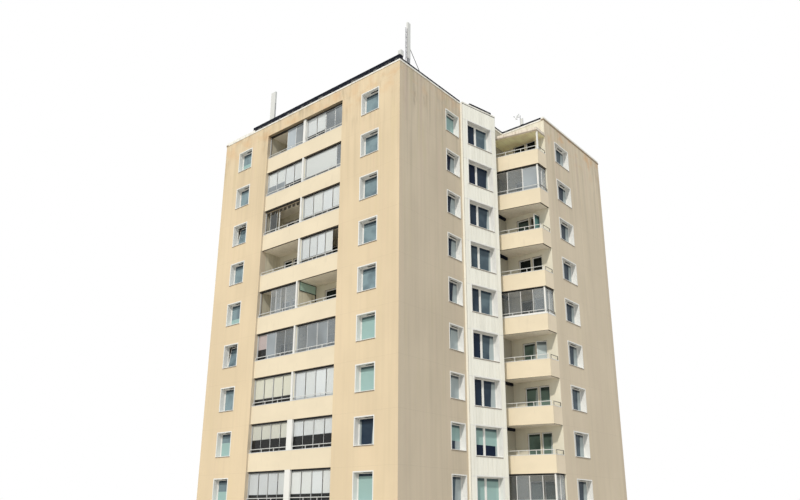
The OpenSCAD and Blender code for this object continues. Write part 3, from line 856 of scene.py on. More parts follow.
class BLOCK_OT_walls(Piece, bpy.types.Operator):
    """Render on the outer walls, with streaks and faint joints"""

    bl_idname = "block.walls"
    bl_label = "Outer walls"

    def execute(self, context):
        c = colours()
        side = c.side_render
        # Faces of the front and back walls that look along X take the side walls' painted shade
        dress(render_finish("front_render", c.render, c.stain, ends=side), "front_wall_left",
              "front_wall_right", "back_wall_left", "back_wall_right", "loggia_head_walls")
        # Side and gable walls take the render's darker copy, painted shade; the gables a little lighter
        dress(render_finish("side_render", side, c.side_stain, 0.8, 0.9, 0.25, (1, FACE_Y - 2.4)),
              "right_side_wall", "left_side_wall")
        dress(render_finish("gable_render", shade(side, 1.09), c.side_stain, 0.6, 0.4, 0.6, (1, 2.8)),
              "right_gable_wall", "left_gable_wall")
        # Faces of the nook back walls that look along X take the side walls' painted shade
        dress(render_finish("nook_render", c.nook, c.side_stain, 0.4, 0.2, 0.1, ends=shade(side, 1.1)),
              "nook_back_walls")
        # Walls at the nooks' sides, which stand in shade: the nook paint darker, painted shade
        dress(render_finish("nook_side_render", shade(c.nook, 0.6), c.side_stain, 0.4, 0.2, 0.1),
              "nook_side_walls")
        dress(render_finish("loggia_render", c.inner, c.stain, 0.3, 0.0, 0.0), "loggia_back_walls")
        dress(lining_board_finish("loggia_boards", c.inner), "loggia_side_walls", "loggia_divider_walls")
        dress(render_finish("bay_returns", c.boards, c.stain, 0.2, 0.1, 0.0), "bay_return_walls")
        # The bay wall's faces that look along X show between the boards, darker: painted shade in the board
        # gaps
        dress(render_finish("bay_base", c.boards, c.stain, 0.2, 0.1, 0.0, ends=shade(c.boards, 0.45)),
              "right_bay_wall", "left_bay_wall")
        return DONE


class BLOCK_OT_slabs(Piece, bpy.types.Operator):
    """Parapets, floors, canopies and roofs"""

    bl_idname = "block.slabs"
    bl_label = "Parapets, floors and roofs"

    def execute(self, context):
        c = colours()
        # Parapets take painted shade on their undersides
        dress(parapet_finish("parapet_paint", c.parapet, c.grime_and_underside_shade), "loggia_parapets",
              "balcony_front_parapets")
        dress(parapet_finish("side_parapet_paint", shade(c.side_render, 1.33), c.grime_and_underside_shade),
              "balcony_side_parapets")
        dress(concrete_finish("loggia_ceiling_paint", c.ceiling), "loggia_floors")
        dress(concrete_finish("soffit_concrete", c.soffit), "balcony_floors", "middle_floors", "wing_floors",
              "corner_floors", "bay_floors")
        dress(roofing_finish("roofing_felt", c.roofing, c.ceiling), "middle_roof", "wing_roofs", "bay_roofs")
        low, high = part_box("balcony_canopies")
        dress(canopy_finish("canopy_sheet", c.canopy, c.canopy_drip, c.under_canopy, low.z, high.z),
              "balcony_canopies")
        return DONE


class BLOCK_OT_metalwork(Piece, bpy.types.Operator):
    """Rails, posts, roof trim, dark bands and aerials"""

    bl_idname = "block.metalwork"
    bl_label = "Metalwork"

    def execute(self, context):
        c = colours()
        dress(metal("rail_metal"), "loggia_handrails")
        dress(metal_finish("balcony_rail_metal", c.rail, 0.35, 0.1, sides=c.shaded_side_rail), "balcony_handrails")
        dress(metal("white_coated_metal"), "loggia_posts", "canopy_posts")
        # The trim over the gables is dark: painted shadow
        dress(edge_finish("trim_sheet", c.trim, c.gable_trim_shade, c.trim), "roof_trim")
        dress(edge_finish("edge_sheet", c.black, c.trim, c.trim), "roof_edge")
        dress(metal("dark_sheet"), "roof_bands")
        dress(metal("mast_metal"), "aerial_mast", "aerial_poles")
        dress(metal("aerial_shell"), "panel_aerials", "aerial_box")
        dress(metal("door_leaf"), "entrance_door")
        return DONE


SILL_FALL = 0.012
VENT_LENGTH = 0.6


class BLOCK_OT_linings(Piece, bpy.types.Operator):
    """White sheet linings round the window holes, with rims, sills, drip edges and vents"""

    bl_idname = "block.linings"
    bl_label = "Window linings"

    def execute(self, context):
        s = sizes()
        linings, sills, drips, vents = (Shape() for _ in range(4))
        for opening, place, _ in both(wall_windows()):
            cladding = s.board_t if opening.wall == "right_bay_wall" else 0.0
            rim, proud, nose = s.rim + cladding, s.proud + cladding, s.sill_out + cladding
            back, fall = -opening.depth, SILL_FALL
            ends = (-s.sill_past, opening.width + s.sill_past)
            linings.ring(place, (0, opening.width), (0, opening.height),
                         [(s.sheet, back), (s.sheet, proud), (-rim, proud), (-rim, 0), (0, 0), (0, back)])
            sills.run(place, [(0.035, back + 0.02), (0.014, nose), (-fall, nose), (-fall, nose - 0.005),
                              (0.0, nose - 0.006), (0.009, back + 0.02)], *ends)
            # Dark drip edge below the sill, partly painted shade of the sill
            drips.block(place, ends, (-fall - s.drip_h, -fall - 0.0005), (proud + 0.0005, nose - 0.002))
            if not cladding:
                middle, top = opening.width * 0.62, opening.height - s.sheet
                vents.block(place, (middle - VENT_LENGTH / 2, middle + VENT_LENGTH / 2),
                            (top - 0.02, top - 0.0005), (-0.25, -0.19))
        white_piece(linings, "window_linings")
        white_piece(sills, "window_sills")
        drips.piece("sill_drip_edges", metal("drip_edge"), "black_metal")
        dark_piece(vents, "window_vents")
        return DONE


def window_light(frames, panes, place, u, v, look, tilt=0.0):
    """One sash with its pane, in front of w = 0, tipped inwards at the top by tilt degrees.

    The look is the pane's sky, curtain, own number and cover."""
    s = sizes()
    t, held = s.sash_t, s.sash - 0.01
    hung = tipped(moved(place, v=v[0]), -tilt, "X")
    high = v[1] - v[0]
    frames.ring(hung, u, (0, high), [(0, -t), (0, t - 0.006), (0.006, t), (s.sash - 0.008, t),
                                     (s.sash, 0.014), (s.sash, -t)])
    panes.block(hung, (u[0] + held, u[1] - held), (held, high - held), (-0.006, 0.002), look[:3], look[3])


def window_set(frames, panes, place, opening, looks, tilt=0.0):
    """A fixed frame and its lights, whose outer face is at w = 0."""
    s = sizes()
    t, v = s.frame_t, (s.frame, opening.height - s.frame)
    frames.ring(place, (0, opening.width), (0, opening.height),
                [(0, -t), (0, 0), (s.frame - 0.004, 0), (s.frame, -0.004), (s.frame, -t)])
    inside = opening.width - 2 * s.frame - (len(opening.lights) - 1) * s.mullion
    u = s.frame
    for number, (share, look) in enumerate(zip(opening.lights, looks)):
        if number:
            u += s.mullion
            frames.block(place, (u - s.mullion, u), v, (-t, 0.012))
        wide = inside * share
        window_light(frames, panes, moved(place, w=-0.036), (u, u + wide), v, look, tilt)
        u += wide


# Storeys whose windows in the front's left column are tipped open, and how far in degrees
TIPPED_STOREYS, TIPPED = (7, 4), 9.0
# What each pane shows, from the ground up and light by light: the share of the painted reflection of the sky,
# curtain, own number and cover
PANES = {
    "front_wall_left": (
        (0.8, 0, 0.3, 0), (0.35, 0, 0.2, 0.9), (0.1, 0.35, 0.7, 0), (1, 0, 0.1, 1), (0.9, 0, 0.4, 1),
        (1, 0, 0.2, 0), (0.9, 0, 0.5, 0), (0.85, 0, 0.1, 0), (1, 0.1, 0.3, 0), (0.95, 0, 0.2, 0),
    ),
    "left_column": (
        (0.8, 0, 0.3, 0), (0.7, 0, 0.2, 0.5), (0.8, 0, 0.1, 0.6), (0.9, 0.1, 0.3, 0), (0.7, 0, 0.5, 0),
        (0.9, 0, 0.2, 0.3), (1, 0, 0.4, 0), (0.9, 0, 0.3, 0), (1, 0.1, 0.2, 0), (0.9, 0, 0.1, 0.4),
    ),
    "right_side_wall": (
        (0.4, 0.7, 0.3, 0), (0.35, 0.6, 0.3, 0), (0.1, 0.5, 0.2, -0.65), (0.5, 0.85, 0.4, 0),
        (0.55, 0.8, 0.2, 0), (0.06, 0.5, 0.5, 0), (0.04, 0.55, 0.1, 0), (0.04, 0.55, 0.4, 0),
        (0, 0.5, 0.3, 0), (0.3, 0.4, 0.2, 1),
    ),
    "right_gable_wall": (
        (0.3, 0, 0.1, 0), (0.3, 0.5, 0.2, 0), (0.24, 0, 0.2, 0), (0.24, 0.55, 0.3, 0),
        (0.18, 0, 0.3, 0), (0.3, 0.6, 0.1, 0), (0.12, 0, 0.1, 0), (0.3, 0.5, 0.4, 0),
        (0.18, 0, 0.2, 0), (0.21, 0.6, 0.2, 0), (0.12, 0, 0.4, 0), (0.18, 0.45, 0.1, 0),
        (0.09, 0, 0.1, 0), (0.18, 0.5, 0.3, 0), (0.12, 0, 0.3, 0), (0.15, 0.55, 0.2, 0),
        (0.06, 0, 0.2, 0), (0.12, 0.5, 0.1, 0), (0.24, 0, 0.1, 0), (0.33, 0.55, 0.4, 0),
    ),
    "right_bay_wall": (
        (0.5, 0, 0.1, 0), (0.5, 0.3, 0.2, 0), (0.3, 0, 0.2, 1), (0.3, 0.3, 0.3, 1),
        (0, 0, 0.3, -0.62), (0, 0.2, 0.1, -0.62), (0.06, 0, 0.1, 0), (0.12, 0.5, 0.4, 0),
        (0.04, 0, 0.2, 0), (0.3, 0.5, 0.2, 0), (0.15, 0, 0.4, 0), (0.5, 0.3, 0.1, 0),
        (0.3, 0, 0.1, 0), (0.4, 0.25, 0.3, 0), (0.1, 0, 0.3, 0), (0.25, 0.3, 0.2, 0),
        (0, 0, 0.2, 0), (0.08, 0.2, 0.1, 0), (0.05, 0, 0.1, 0), (0.5, 0.25, 0.4, 0),
    ),
}


class BLOCK_OT_windows(Piece, bpy.types.Operator):
    """Frames, sashes and panes of the windows in the outer walls"""

    bl_idname = "block.windows"
    bl_label = "Windows"

    def execute(self, context):
        c = colours()
        frames, panes = Shape(), Shape()
        for opening, place, back in both(wall_windows()):
            tip = opening.left_column and opening.storey in TIPPED_STOREYS and not back
            looks = PANES["left_column" if opening.left_column else opening.wall]
            first = opening.storey % STOREYS * len(opening.lights)
            window_set(frames, panes, moved(place, w=0.045 - opening.depth), opening, looks[first:],
                       TIPPED if tip else 0.0)
        white_piece(frames, "window_frames")
        glass = pane_finish("window_pane", c.room, c.sky, c.curtain, c.screen)
        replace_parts(panes.piece("window_panes", glass, "glass"), "window_glass", "bay_glass")
        return DONE


# Storeys whose balcony door stands open, with the angle in degrees and the part of its pane that is pale: a
# painted reflection of the sky
OPEN_DOORS = {7: (85.0, 0.0), 4: (38.0, 1.0)}
# Storeys whose balcony doors and windows show a painted green reflection of daylight, with its share
GREEN_STOREYS = {1: 1.0, 2: 1.0, 3: 1.0, 4: 1.0, 7: 0.4}
DOOR_REBATE = 0.04
# Openings behind loggias and balconies that are taller than this are doors
DOOR_LEAST = 1.8
# How far in from the wall's face those behind balconies are set, at most
NOOK_SET_BACK = 0.12


class BLOCK_OT_doors(Piece, bpy.types.Operator):
    """Doors and windows behind the loggias and balconies"""

    bl_idname = "block.doors"
    bl_label = "Balcony doors"

    def execute(self, context):
        c = colours()
        chance = random.Random(11)
        frames, panes, leaves, open_panes = (Shape() for _ in range(4))
        found = openings_of("loggia_back_walls", "nook_back_walls")
        first_door = min(o.place.translation.x for o in found)
        for opening, place, back in both(found):
            storey, width, height = opening.storey, opening.width, opening.height
            if back and storey == 0 and opening.place.translation.x == first_door:
                continue
            door, nook = height > DOOR_LEAST, opening.wall == "nook_back_walls"
            inner = moved(place, w=0.03 - (min(opening.depth, NOOK_SET_BACK) if nook else opening.depth))
            # Share of the painted reflection of daylight in the pane
            sky = GREEN_STOREYS.get(storey, 0.0) if nook else chance.uniform(0.0, 0.15)
            look = (sky, chance.choice((0.0, 0.3)), chance.uniform(0.0, 0.6), 0.0)
            if door and nook and storey in OPEN_DOORS and not back:
                angle, pale = OPEN_DOORS[storey]
                t, edge = sizes().frame_t, DOOR_REBATE
                frames.ring(inner, (0, width), (0, height), [(0, -t), (0, 0), (edge, 0), (edge, -t)])
                window_light(leaves, open_panes, tipped(moved(inner, width - edge, edge), angle, "Y"),
                             (2 * edge - width, 0), (0, height - 2 * edge), (1.0, 0.0, 0.3, pale))
                continue
            window_set(frames, panes, inner, opening, [look])
            if door:
                frames.block(inner, (0.07, width - 0.07), (0.08, 0.2), (-0.05, -0.012))
        white_piece(frames, "balcony_door_frames")
        white_piece(leaves, "open_door_leaves")
        teal = pane_finish("open_door_pane", c.dim, c.teal, c.curtain, c.curtain)
        open_panes.piece("open_door_panes", teal, "glass")
        green = pane_finish("door_pane", c.dim, c.green, c.curtain, c.screen)
        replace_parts(panes.piece("balcony_door_panes", green, "glass"), "balcony_door_glass")
        return DONE


class BLOCK_OT_boards(Piece, bpy.types.Operator):
    """Upright white boards on the bays, parted by a joint at each window head"""

    bl_idname = "block.boards"
    bl_label = "Bay boards"

    def execute(self, context):
        s, c = sizes(), colours()
        t, joint = s.board_t, s.joint
        chance = random.Random(3)
        boards, strips, shadows = (Shape() for _ in range(3))
        windows = sorted(openings_of("right_bay_wall"), key=lambda o: o.storey)
        face = windows[0].place
        z_base = face.translation.z
        wall = at(face.inverted(), *(v.co for v in frame["nodes"]["right_bay_wall"].data.vertices))
        ends = [p.x for p in wall if abs(p.z) < 0.01]
        u0, u1 = min(ends) + 0.03, max(ends) - 0.02
        count = round((u1 - u0) / s.board)
        pitch = (u1 - u0) / count
        feet = [w.place.translation.z - z_base for w in windows]
        heads = [foot + w.height for foot, w in zip(feet, windows)]
        bottoms = [0.05 - z_base] + [h + joint for h in heads]
        tops = [h - joint for h in heads] + [WALL_TOP - 0.003 - z_base]
        holes = [(w.width, foot) for foot, w in zip(feet, windows)] + [(0.0, 0.0)]
        for turn in (Matrix.Identity(4), HALF_TURN):
            place = turn @ face
            for bottom, top, hole in zip(bottoms, tops, holes):
                for number in range(count):
                    self.board(boards, place, u0 + pitch * number, u0 + pitch * (number + 1), bottom, top,
                               hole, (chance.random(), 0, 0))
                if hole[0]:
                    strips.run(place, [(top + 0.001, 0), (top + 0.001, t + 0.006), (top + 0.022, t + 0.004),
                                       (top + 0.024, 0)], u0, u1)
                else:
                    # A dark strip just under the top trim: painted shadow
                    shadows.block(place, (u0, u1), (top - 0.035, top), (0.001, t + 0.004))
        boards.piece("bay_boards", board_finish("white_boards", c.boards, c.dull_boards), "cladding")
        strips.piece("bay_joint_strips", metal("rail_metal"), "white_metal")
        dark_piece(shadows, "bay_top_joints")
        return DONE

    def board(self, boards, place, a, b, bottom, top, hole, look):
        """One board of a level, cut round its window, whose width and foot are the hole, or zeros."""
        t, gap = sizes().board_t, sizes().board_gap
        width, foot = hole
        spans = [(a, b, bottom, top)]
        if width and a < width and b > 0:
            spans = [(a, b, bottom, foot), (a, 0.0, foot, top), (width, b, foot, top)]
        for left, right, z0, z1 in spans:
            if min(right - left, z1 - z0) < 0.01:
                continue
            left, right = left + gap, right - gap
            boards.run(place, [(left, 0), (left, t - gap), (left + gap, t), (right - gap, t),
                               (right, t - gap), (right, 0)], z0, z1, True, look)


# Each loggia half from the ground up, panel by panel from its left end. With a blind: B usual, b dull,
# C cream, E a little lower, w wide and lower, F lowest, past the parapet's top, h dull and half down,
# c cream and half down, l half down in a hazy pane, P rose and half down. Bare panes: G clear, H hazy,
# D dull, W and V milky, n dull and narrow, k nearly clear and narrow, z dark and narrow. o is no panel.
LOGGIA_STATES = (
    ("GGBB", "BBBB"), ("bbbb", "BBBB"), ("cccc", "hhhh"), ("CCCC", "FFFF"), ("PVGG", "DDDG"),
    ("onnnH", "oooo"), ("oooo", "EEEEo"), ("kzoo", "EEEE"), ("llBB", "wn"), ("ooWD", "BBDD"),
)
# How high above the parapet a blind's foot hangs, or 0 for the usual gap
BLIND_FEET = {"B": 0, "b": 0, "C": 0, "E": 0.3, "F": -0.11, "w": 0.22, "h": 0.74, "c": 0.74, "l": 0.65,
              "P": 0.68}
# How wide a panel is beside its neighbours, if it isn't as wide
PANEL_SHARES = {"n": 0.45, "w": 2.2, "k": 0.4, "z": 0.6}
# How dull a blind is, if it is duller than most
DULL_BLINDS = {"b": 0.4, "h": 0.3, "c": 0.35, "w": 0.05}
# How much a pane hides of what is behind it, and how milky it is
PANE_LOOKS = {"G": (0.32, 0.3), "H": (0.36, 0.82), "D": (0.5, 0.42), "n": (0.42, 0.5), "W": (0.72, 0.78),
              "V": (0.66, 0.6), "l": (0.03, 0.35), "k": (0.08, 0.2), "z": (0.85, 0.0)}
# Storeys whose panels have wider bars
LOGGIA_BARS = {4: 1.6, 5: 1.7, 9: 1.3}
# The back shows what the front does, so many storeys further up
BACK_SHIFT = 4
# How much narrower all the panels are than their room, and where the first one starts
PANELS_LESS, PANELS_START = 0.07, 0.04
# Where the tracks and the two planes of panels in them stand, out from the parapet's inner face
TRACK_DEPTH = (-0.075, -0.004)
PANEL_PLANES = (-0.052, -0.03)


def panels(shapes, room, place, states, bars, chance, looks=PANE_LOOKS):
    """Sliding panels between a sill track and a head track, with their blinds."""
    tracks, frames, panes, blinds = shapes
    s = sizes()
    bar, room_end = s.panel_bar * bars, room.width - 0.003
    base, top = room.parapet - s.panel_drop, room.height - 0.004
    low, high = base + s.sill_track, top - s.head_track
    # The head track, near black, is partly painted shade under the parapet above
    for v in ((high, top), (base, low)):
        tracks.block(place, (0.003, room_end), v, TRACK_DEPTH)
    frames.block(place, (0.003, 0.055), (low, high), (-0.07, -0.008))
    tracks.block(place, (room_end - 0.042, room_end), (low, high), (-0.07, -0.008))
    v0, v1 = low - 0.005, high + 0.005
    shares = [PANEL_SHARES.get(state, 1.0) for state in states]
    u1 = PANELS_START
    for number, (state, share) in enumerate(zip(states, shares)):
        u0, u1 = u1, u1 + (room.width - PANELS_LESS) * share / sum(shares)
        if state == "o":
            continue
        w = PANEL_PLANES[number % 2]
        frames.ring(place, (u0, u1), (v0, v1), [(0, w - 0.008), (0, w + 0.008), (bar * 0.6, w + 0.012),
                                                (bar, w + 0.006), (bar, w - 0.008)])
        foot = room.parapet + (BLIND_FEET.get(state) or s.blind_gap)
        gap = (foot - v0) / (v1 - v0) if state in BLIND_FEET else 0.0
        panes.block(place, (u0 + 0.02, u1 - 0.02), (v0 + 0.02, v1 - 0.02), (w - 0.003, w + 0.003),
                    (*looks.get(state, (0.03, 0.0)), chance.random()), gap)
        if state in BLIND_FEET:
            dull = DULL_BLINDS.get(state, 0.0) or chance.uniform(0.0, 0.16)
            look = (1.0 if state in "Cc" else chance.uniform(0.0, 0.25), dull, float(state == "P"))
            left, right = u0 + bar + 0.016, u1 - bar - 0.016
            blinds.pleats(place, (left, right), (foot, v1 - 0.03), -0.062, s.pleat, 0.008, look)
            blinds.block(place, (left - 0.006, right + 0.006), (foot - 0.02, foot), (-0.075, -0.06), look)


def sliding_glass():
    """The glass of all the sliding panels."""
    c = colours()
    return shared("sliding_pane", sliding_glass_finish, c.clear, c.milky)


# The open loggia half whose dividing wall carries a framed pane, the pane's length and its height
SCREEN_ROOM = (5, 1)
SCREEN_LENGTH, SCREEN_H = 1.37, 0.58


class BLOCK_OT_loggia_glazing(Piece, bpy.types.Operator):
    """Sliding panels and blinds of the loggias, storey by storey as they stand"""

    bl_idname = "block.loggia_glazing"
    bl_label = "Loggia glazing"

    def execute(self, context):
        c = colours()
        chance = random.Random(5)
        tracks, frames, panes, blinds, screens, screen_panes = (Shape() for _ in range(6))
        for room, place, back in both(loggia_rooms()):
            if back and room.storey == 0:
                continue
            row = (room.storey + BACK_SHIFT * back) % STOREYS
            states = LOGGIA_STATES[row][room.part]
            if set(states) != {"o"}:
                panels((tracks, frames, panes, blinds), room, place, states, LOGGIA_BARS.get(row, 1.0),
                       chance)
            if (row, room.part) == SCREEN_ROOM:
                self.screen(screens, screen_panes, room, place)
        tracks.piece("loggia_tracks", metal("glazing_tracks"), "rail")
        frames.piece("loggia_panel_frames", metal("glazing_bars"), "rail")
        panes.piece("loggia_panes", sliding_glass(), "glass")
        blinds.piece("pleated_blinds", blind_finish("blind_weave", c.blind, c.cream_blind, c.rose_blind),
                     "cladding")
        dark_piece(screens, "divider_screen_frame")
        tinted = sliding_glass_finish("screen_pane", c.clear, c.divider)
        screen_panes.piece("divider_screen_pane", tinted, "glass")
        return DONE

    def screen(self, screens, panes, room, place):
        """A framed pane along the top of the wall between two halves."""
        face = tipped(moved(place, 0.012), 90, "Y")
        (u0, u1), (v0, v1) = (0.01, SCREEN_LENGTH), (room.height - SCREEN_H, room.height - 0.01)
        screens.ring(face, (u0, u1), (v0, v1), [(0, 0), (0, 0.02), (0.035, 0.02), (0.035, 0)])
        screens.block(face, (u1 - 0.04, u1), (room.parapet - 0.3, v0), (0.0, 0.02))
        panes.block(face, (u0 + 0.02, u1 - 0.02), (v0 + 0.02, v1 - 0.02), (0.006, 0.012), (0.85, 1.0, 0.3))


# Balcony fronts that are glazed, by storey: their panes, how wide their bars are and how tall the white
# strip below them is. g is a dim pane, G a clear one, H a hazy one and W a milky one, as at the sides.
BALCONY_PANELS = {1: ("gGGg", 1.3, 0.0), 5: ("gGgG", 1.0, 0.11), 8: ("gGH", 1.5, 0.0)}
BALCONY_LOOKS = {"g": (0.25, 0.15), "G": (0.28, 0.4), "H": (0.5, 0.8), "W": (0.3, 0.85)}
# Storeys whose balconies have a small dark block below the ceiling, along the wall at their left end
DARK_BLOCK_STOREYS = (2, 3, 5, 6, 7)
DARK_BLOCK_SPAN, DARK_BLOCK_H, DARK_BLOCK_OUT = (0.12, 1.4), 0.17, 0.15


class BLOCK_OT_balcony_glazing(Piece, bpy.types.Operator):
    """Glazed fronts and sides of some of the nook balconies, and small dark blocks below their ceilings"""

    bl_idname = "block.balcony_glazing"
    bl_label = "Balcony glazing"

    def execute(self, context):
        chance = random.Random(9)
        tracks, frames, panes, dark_blocks = (Shape() for _ in range(4))
        for room, place, back in both(balcony_rooms()):
            row = (room.storey + BACK_SHIFT * back) % STOREYS
            front, rail, top = room.part == "front", room.parapet, room.height
            if front and row in DARK_BLOCK_STOREYS:
                corner = room.place.translation
                wall = place @ room.place.inverted() @ turned((0, 1), (FACE_X, corner.y, corner.z))
                dark_blocks.block(wall, DARK_BLOCK_SPAN, (top - DARK_BLOCK_H, top - 0.002), (0.002, DARK_BLOCK_OUT))
            if row not in BALCONY_PANELS:
                continue
            states, bars, strip = BALCONY_PANELS[row]
            panels((tracks, frames, panes, None), room, place, states if front else "WW", bars, chance,
                   BALCONY_LOOKS)
            if front:
                frames.block(place, (room.width - 0.09, room.width - 0.001), (rail + 0.02, top - 0.004),
                             (-0.09, 0.03))
            if strip:
                frames.block(place, (0.0, room.width), (rail + 0.012, rail + strip), (-0.002, 0.05))
        tracks.piece("balcony_tracks", metal("glazing_tracks"), "rail")
        white_piece(frames, "balcony_panel_frames", 0.004)
        panes.piece("balcony_panes", sliding_glass(), "glass")
        dark_piece(dark_blocks, "balcony_casings", 0.01)
        return DONE


def capping_outline(depth, lip=0.003, out=0.008, fall=0.028):
    """Folded sheet over a wall as thick as depth, whose face is at w = 0: v up from the wall's top."""
    back = -depth - out
    return [(-fall, out), (0.006, out), (0.012, -depth / 2), (0.006, back), (-fall, back),
            (-fall, back + lip), (-0.001, back + lip), (-0.001, out - lip), (-fall, out - lip)]


class BLOCK_OT_cappings(Piece, bpy.types.Operator):
    """Folded metal cappings on the parapets"""

    bl_idname = "block.cappings"
    bl_label = "Parapet cappings"

    def execute(self, context):
        cappings = Shape()
        for node, outward in (("loggia_parapets", FRONT), ("balcony_front_parapets", FRONT),
                              ("balcony_side_parapets", RIGHT)):
            loggia = node == "loggia_parapets"
            for points in solids_of(node):
                middle = middle_of(points)
                other_half = middle.y > 0 if loggia else middle.x < 0
                place, width, height = sheet_place(points, -outward if other_half else outward)
                depth = -span(at(place.inverted(), *points), 2)[0] if loggia else 0.1
                cappings.run(moved(place, v=height), capping_outline(depth), 0.0, width)
        cappings.piece("parapet_cappings", metal("rail_metal"), "rail")
        return DONE


# The loggia half with the awning, and how many scallops its cloth has
AWNING_ROOM = (7, 0)
AWNING_SCALLOPS = 8


class BLOCK_OT_awning(Piece, bpy.types.Operator):
    """Rolled awning in one loggia, with its post and the scalloped edge of its cloth hanging down"""

    bl_idname = "block.awning"
    bl_label = "Awning"

    def execute(self, context):
        c, s = colours(), sizes()
        room = next(r for r in loggia_rooms() if (r.storey, r.part) == AWNING_ROOM)
        width, height = room.width - 0.2, s.awning_drop + s.scallop
        hang = moved(room.place, 0.1, room.height - 0.05, -0.02)
        post = width * 0.34
        roll = Shape()
        roll.tube(at(hang, (0, -0.03, -0.06), (width, -0.03, -0.06)), 0.045, 16)
        roll.run(hang, [(0.045, -0.11), (0.045, 0.0), (0.03, 0.005), (-0.01, 0.0), (0.03, -0.11)], 0, width)
        roll.block(hang, (post, post + 0.05), (room.parapet - room.height, 0.045), (-0.17, -0.12))
        white_piece(roll, "awning_roll")
        steps, rows = AWNING_SCALLOPS * 14, 4
        points, spots = [], []
        for share in (i / steps for i in range(steps + 1)):
            arch = math.sin(math.pi * (share * AWNING_SCALLOPS % 1.0))
            low = -s.awning_drop - s.scallop * min(1.0, max(0.0, arch - 0.35) * 2.6) ** 0.5
            for part in (j / rows for j in range(rows + 1)):
                sway = 0.012 * math.sin(share * 31) * part
                points.append((share * width, low * part, 0.006 + sway))
                spots.append((share, -low * part / height, 0))
        corners = (i * (rows + 1) + j for i in range(steps) for j in range(rows))
        cloth = Shape()
        cloth.add(hang, points, [(k, k + 1, k + rows + 2, k + rows + 1) for k in corners], spots)
        made = cloth.piece("awning_cloth", cloth_finish("awning_weave", c.awning, c.hem), "canopy")
        return DONE


class BLOCK_OT_roof_fittings(Piece, bpy.types.Operator):
    """Dish beside the small pole over the nook, and the mast's stay"""

    bl_idname = "block.roof_fittings"
    bl_label = "Roof fittings"

    def execute(self, context):
        dish, arm, stay = (Shape() for _ in range(3))
        pole = max(solids_of("aerial_poles"), key=lambda points: span(points, 0)[1])
        top = Vector((sum(span(pole, 0)) / 2, sum(span(pole, 1)) / 2, span(pole, 2)[1]))
        bowl = top + Vector((-0.16, -0.05, -0.10))
        back = turned((0.87, -0.5), bowl)
        self.bowl(dish, tipped(back, -24, "X"))
        arm.tube([top + Vector((0, 0, -0.12)), bowl + Vector((0.03, 0.03, 0)), *at(back, (0, 0, -0.01))],
                 0.012, 8)
        arm.tube(at(back, (0, -0.2, 0.02), (0, -0.17, 0.16), (0, -0.05, 0.27)), 0.009, 8)
        arm.tube(at(back, (0, -0.05, 0.25), (0, -0.01, 0.31)), 0.024, 12)
        low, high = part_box("aerial_mast")
        foot = Vector(((low.x + high.x) / 2, high.y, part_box("roof_edge")[1].z))
        stay.tube([foot + Vector((0, 0.03, 1.16)), foot + Vector((0, 1.0, 0.01))], 0.018, 8)
        dark_piece(stay, "mast_stay")
        dish.piece("dish", metal("aerial_shell"), "aerial", smooth=True)
        dark_piece(arm, "dish_arm")
        return DONE

    def bowl(self, dish, place):
        """A shallow bowl as thick as sheet metal, with a rolled rim, open towards w."""
        radius, depth = sizes().dish_r, sizes().dish_d
        rings, sides, sheet = 7, 40, 0.006
        inner = [(radius * i / rings, depth * (i / rings) ** 2) for i in range(1, rings + 1)]
        rim = [(radius + 0.006, depth + 0.004), (radius + 0.008, depth - 0.004)]
        outline = inner + rim + [(r, w - sheet) for r, w in inner[::-1]]
        points = [BLANK] + [(r * a, r * b, w) for r, w in outline for a, b in circle(sides)]
        points.append((0, 0, -sheet))
        last = len(points) - 1
        faces = [(end, first + k, first + (k + 1) % sides) for end, first in ((0, 1), (last, last - sides))
                 for k in range(sides)]
        for level in range(len(outline) - 1):
            faces += band(sides, 1 + level * sides, 1 + (level + 1) * sides)
        dish.add(place, points, faces)


FLOOR_RADIUS, FLOOR_SIDES = 600.0, 96
# How far off the floor starts to fade to white, and where it is white
FLOOR_FADE = (35.0, 110.0)


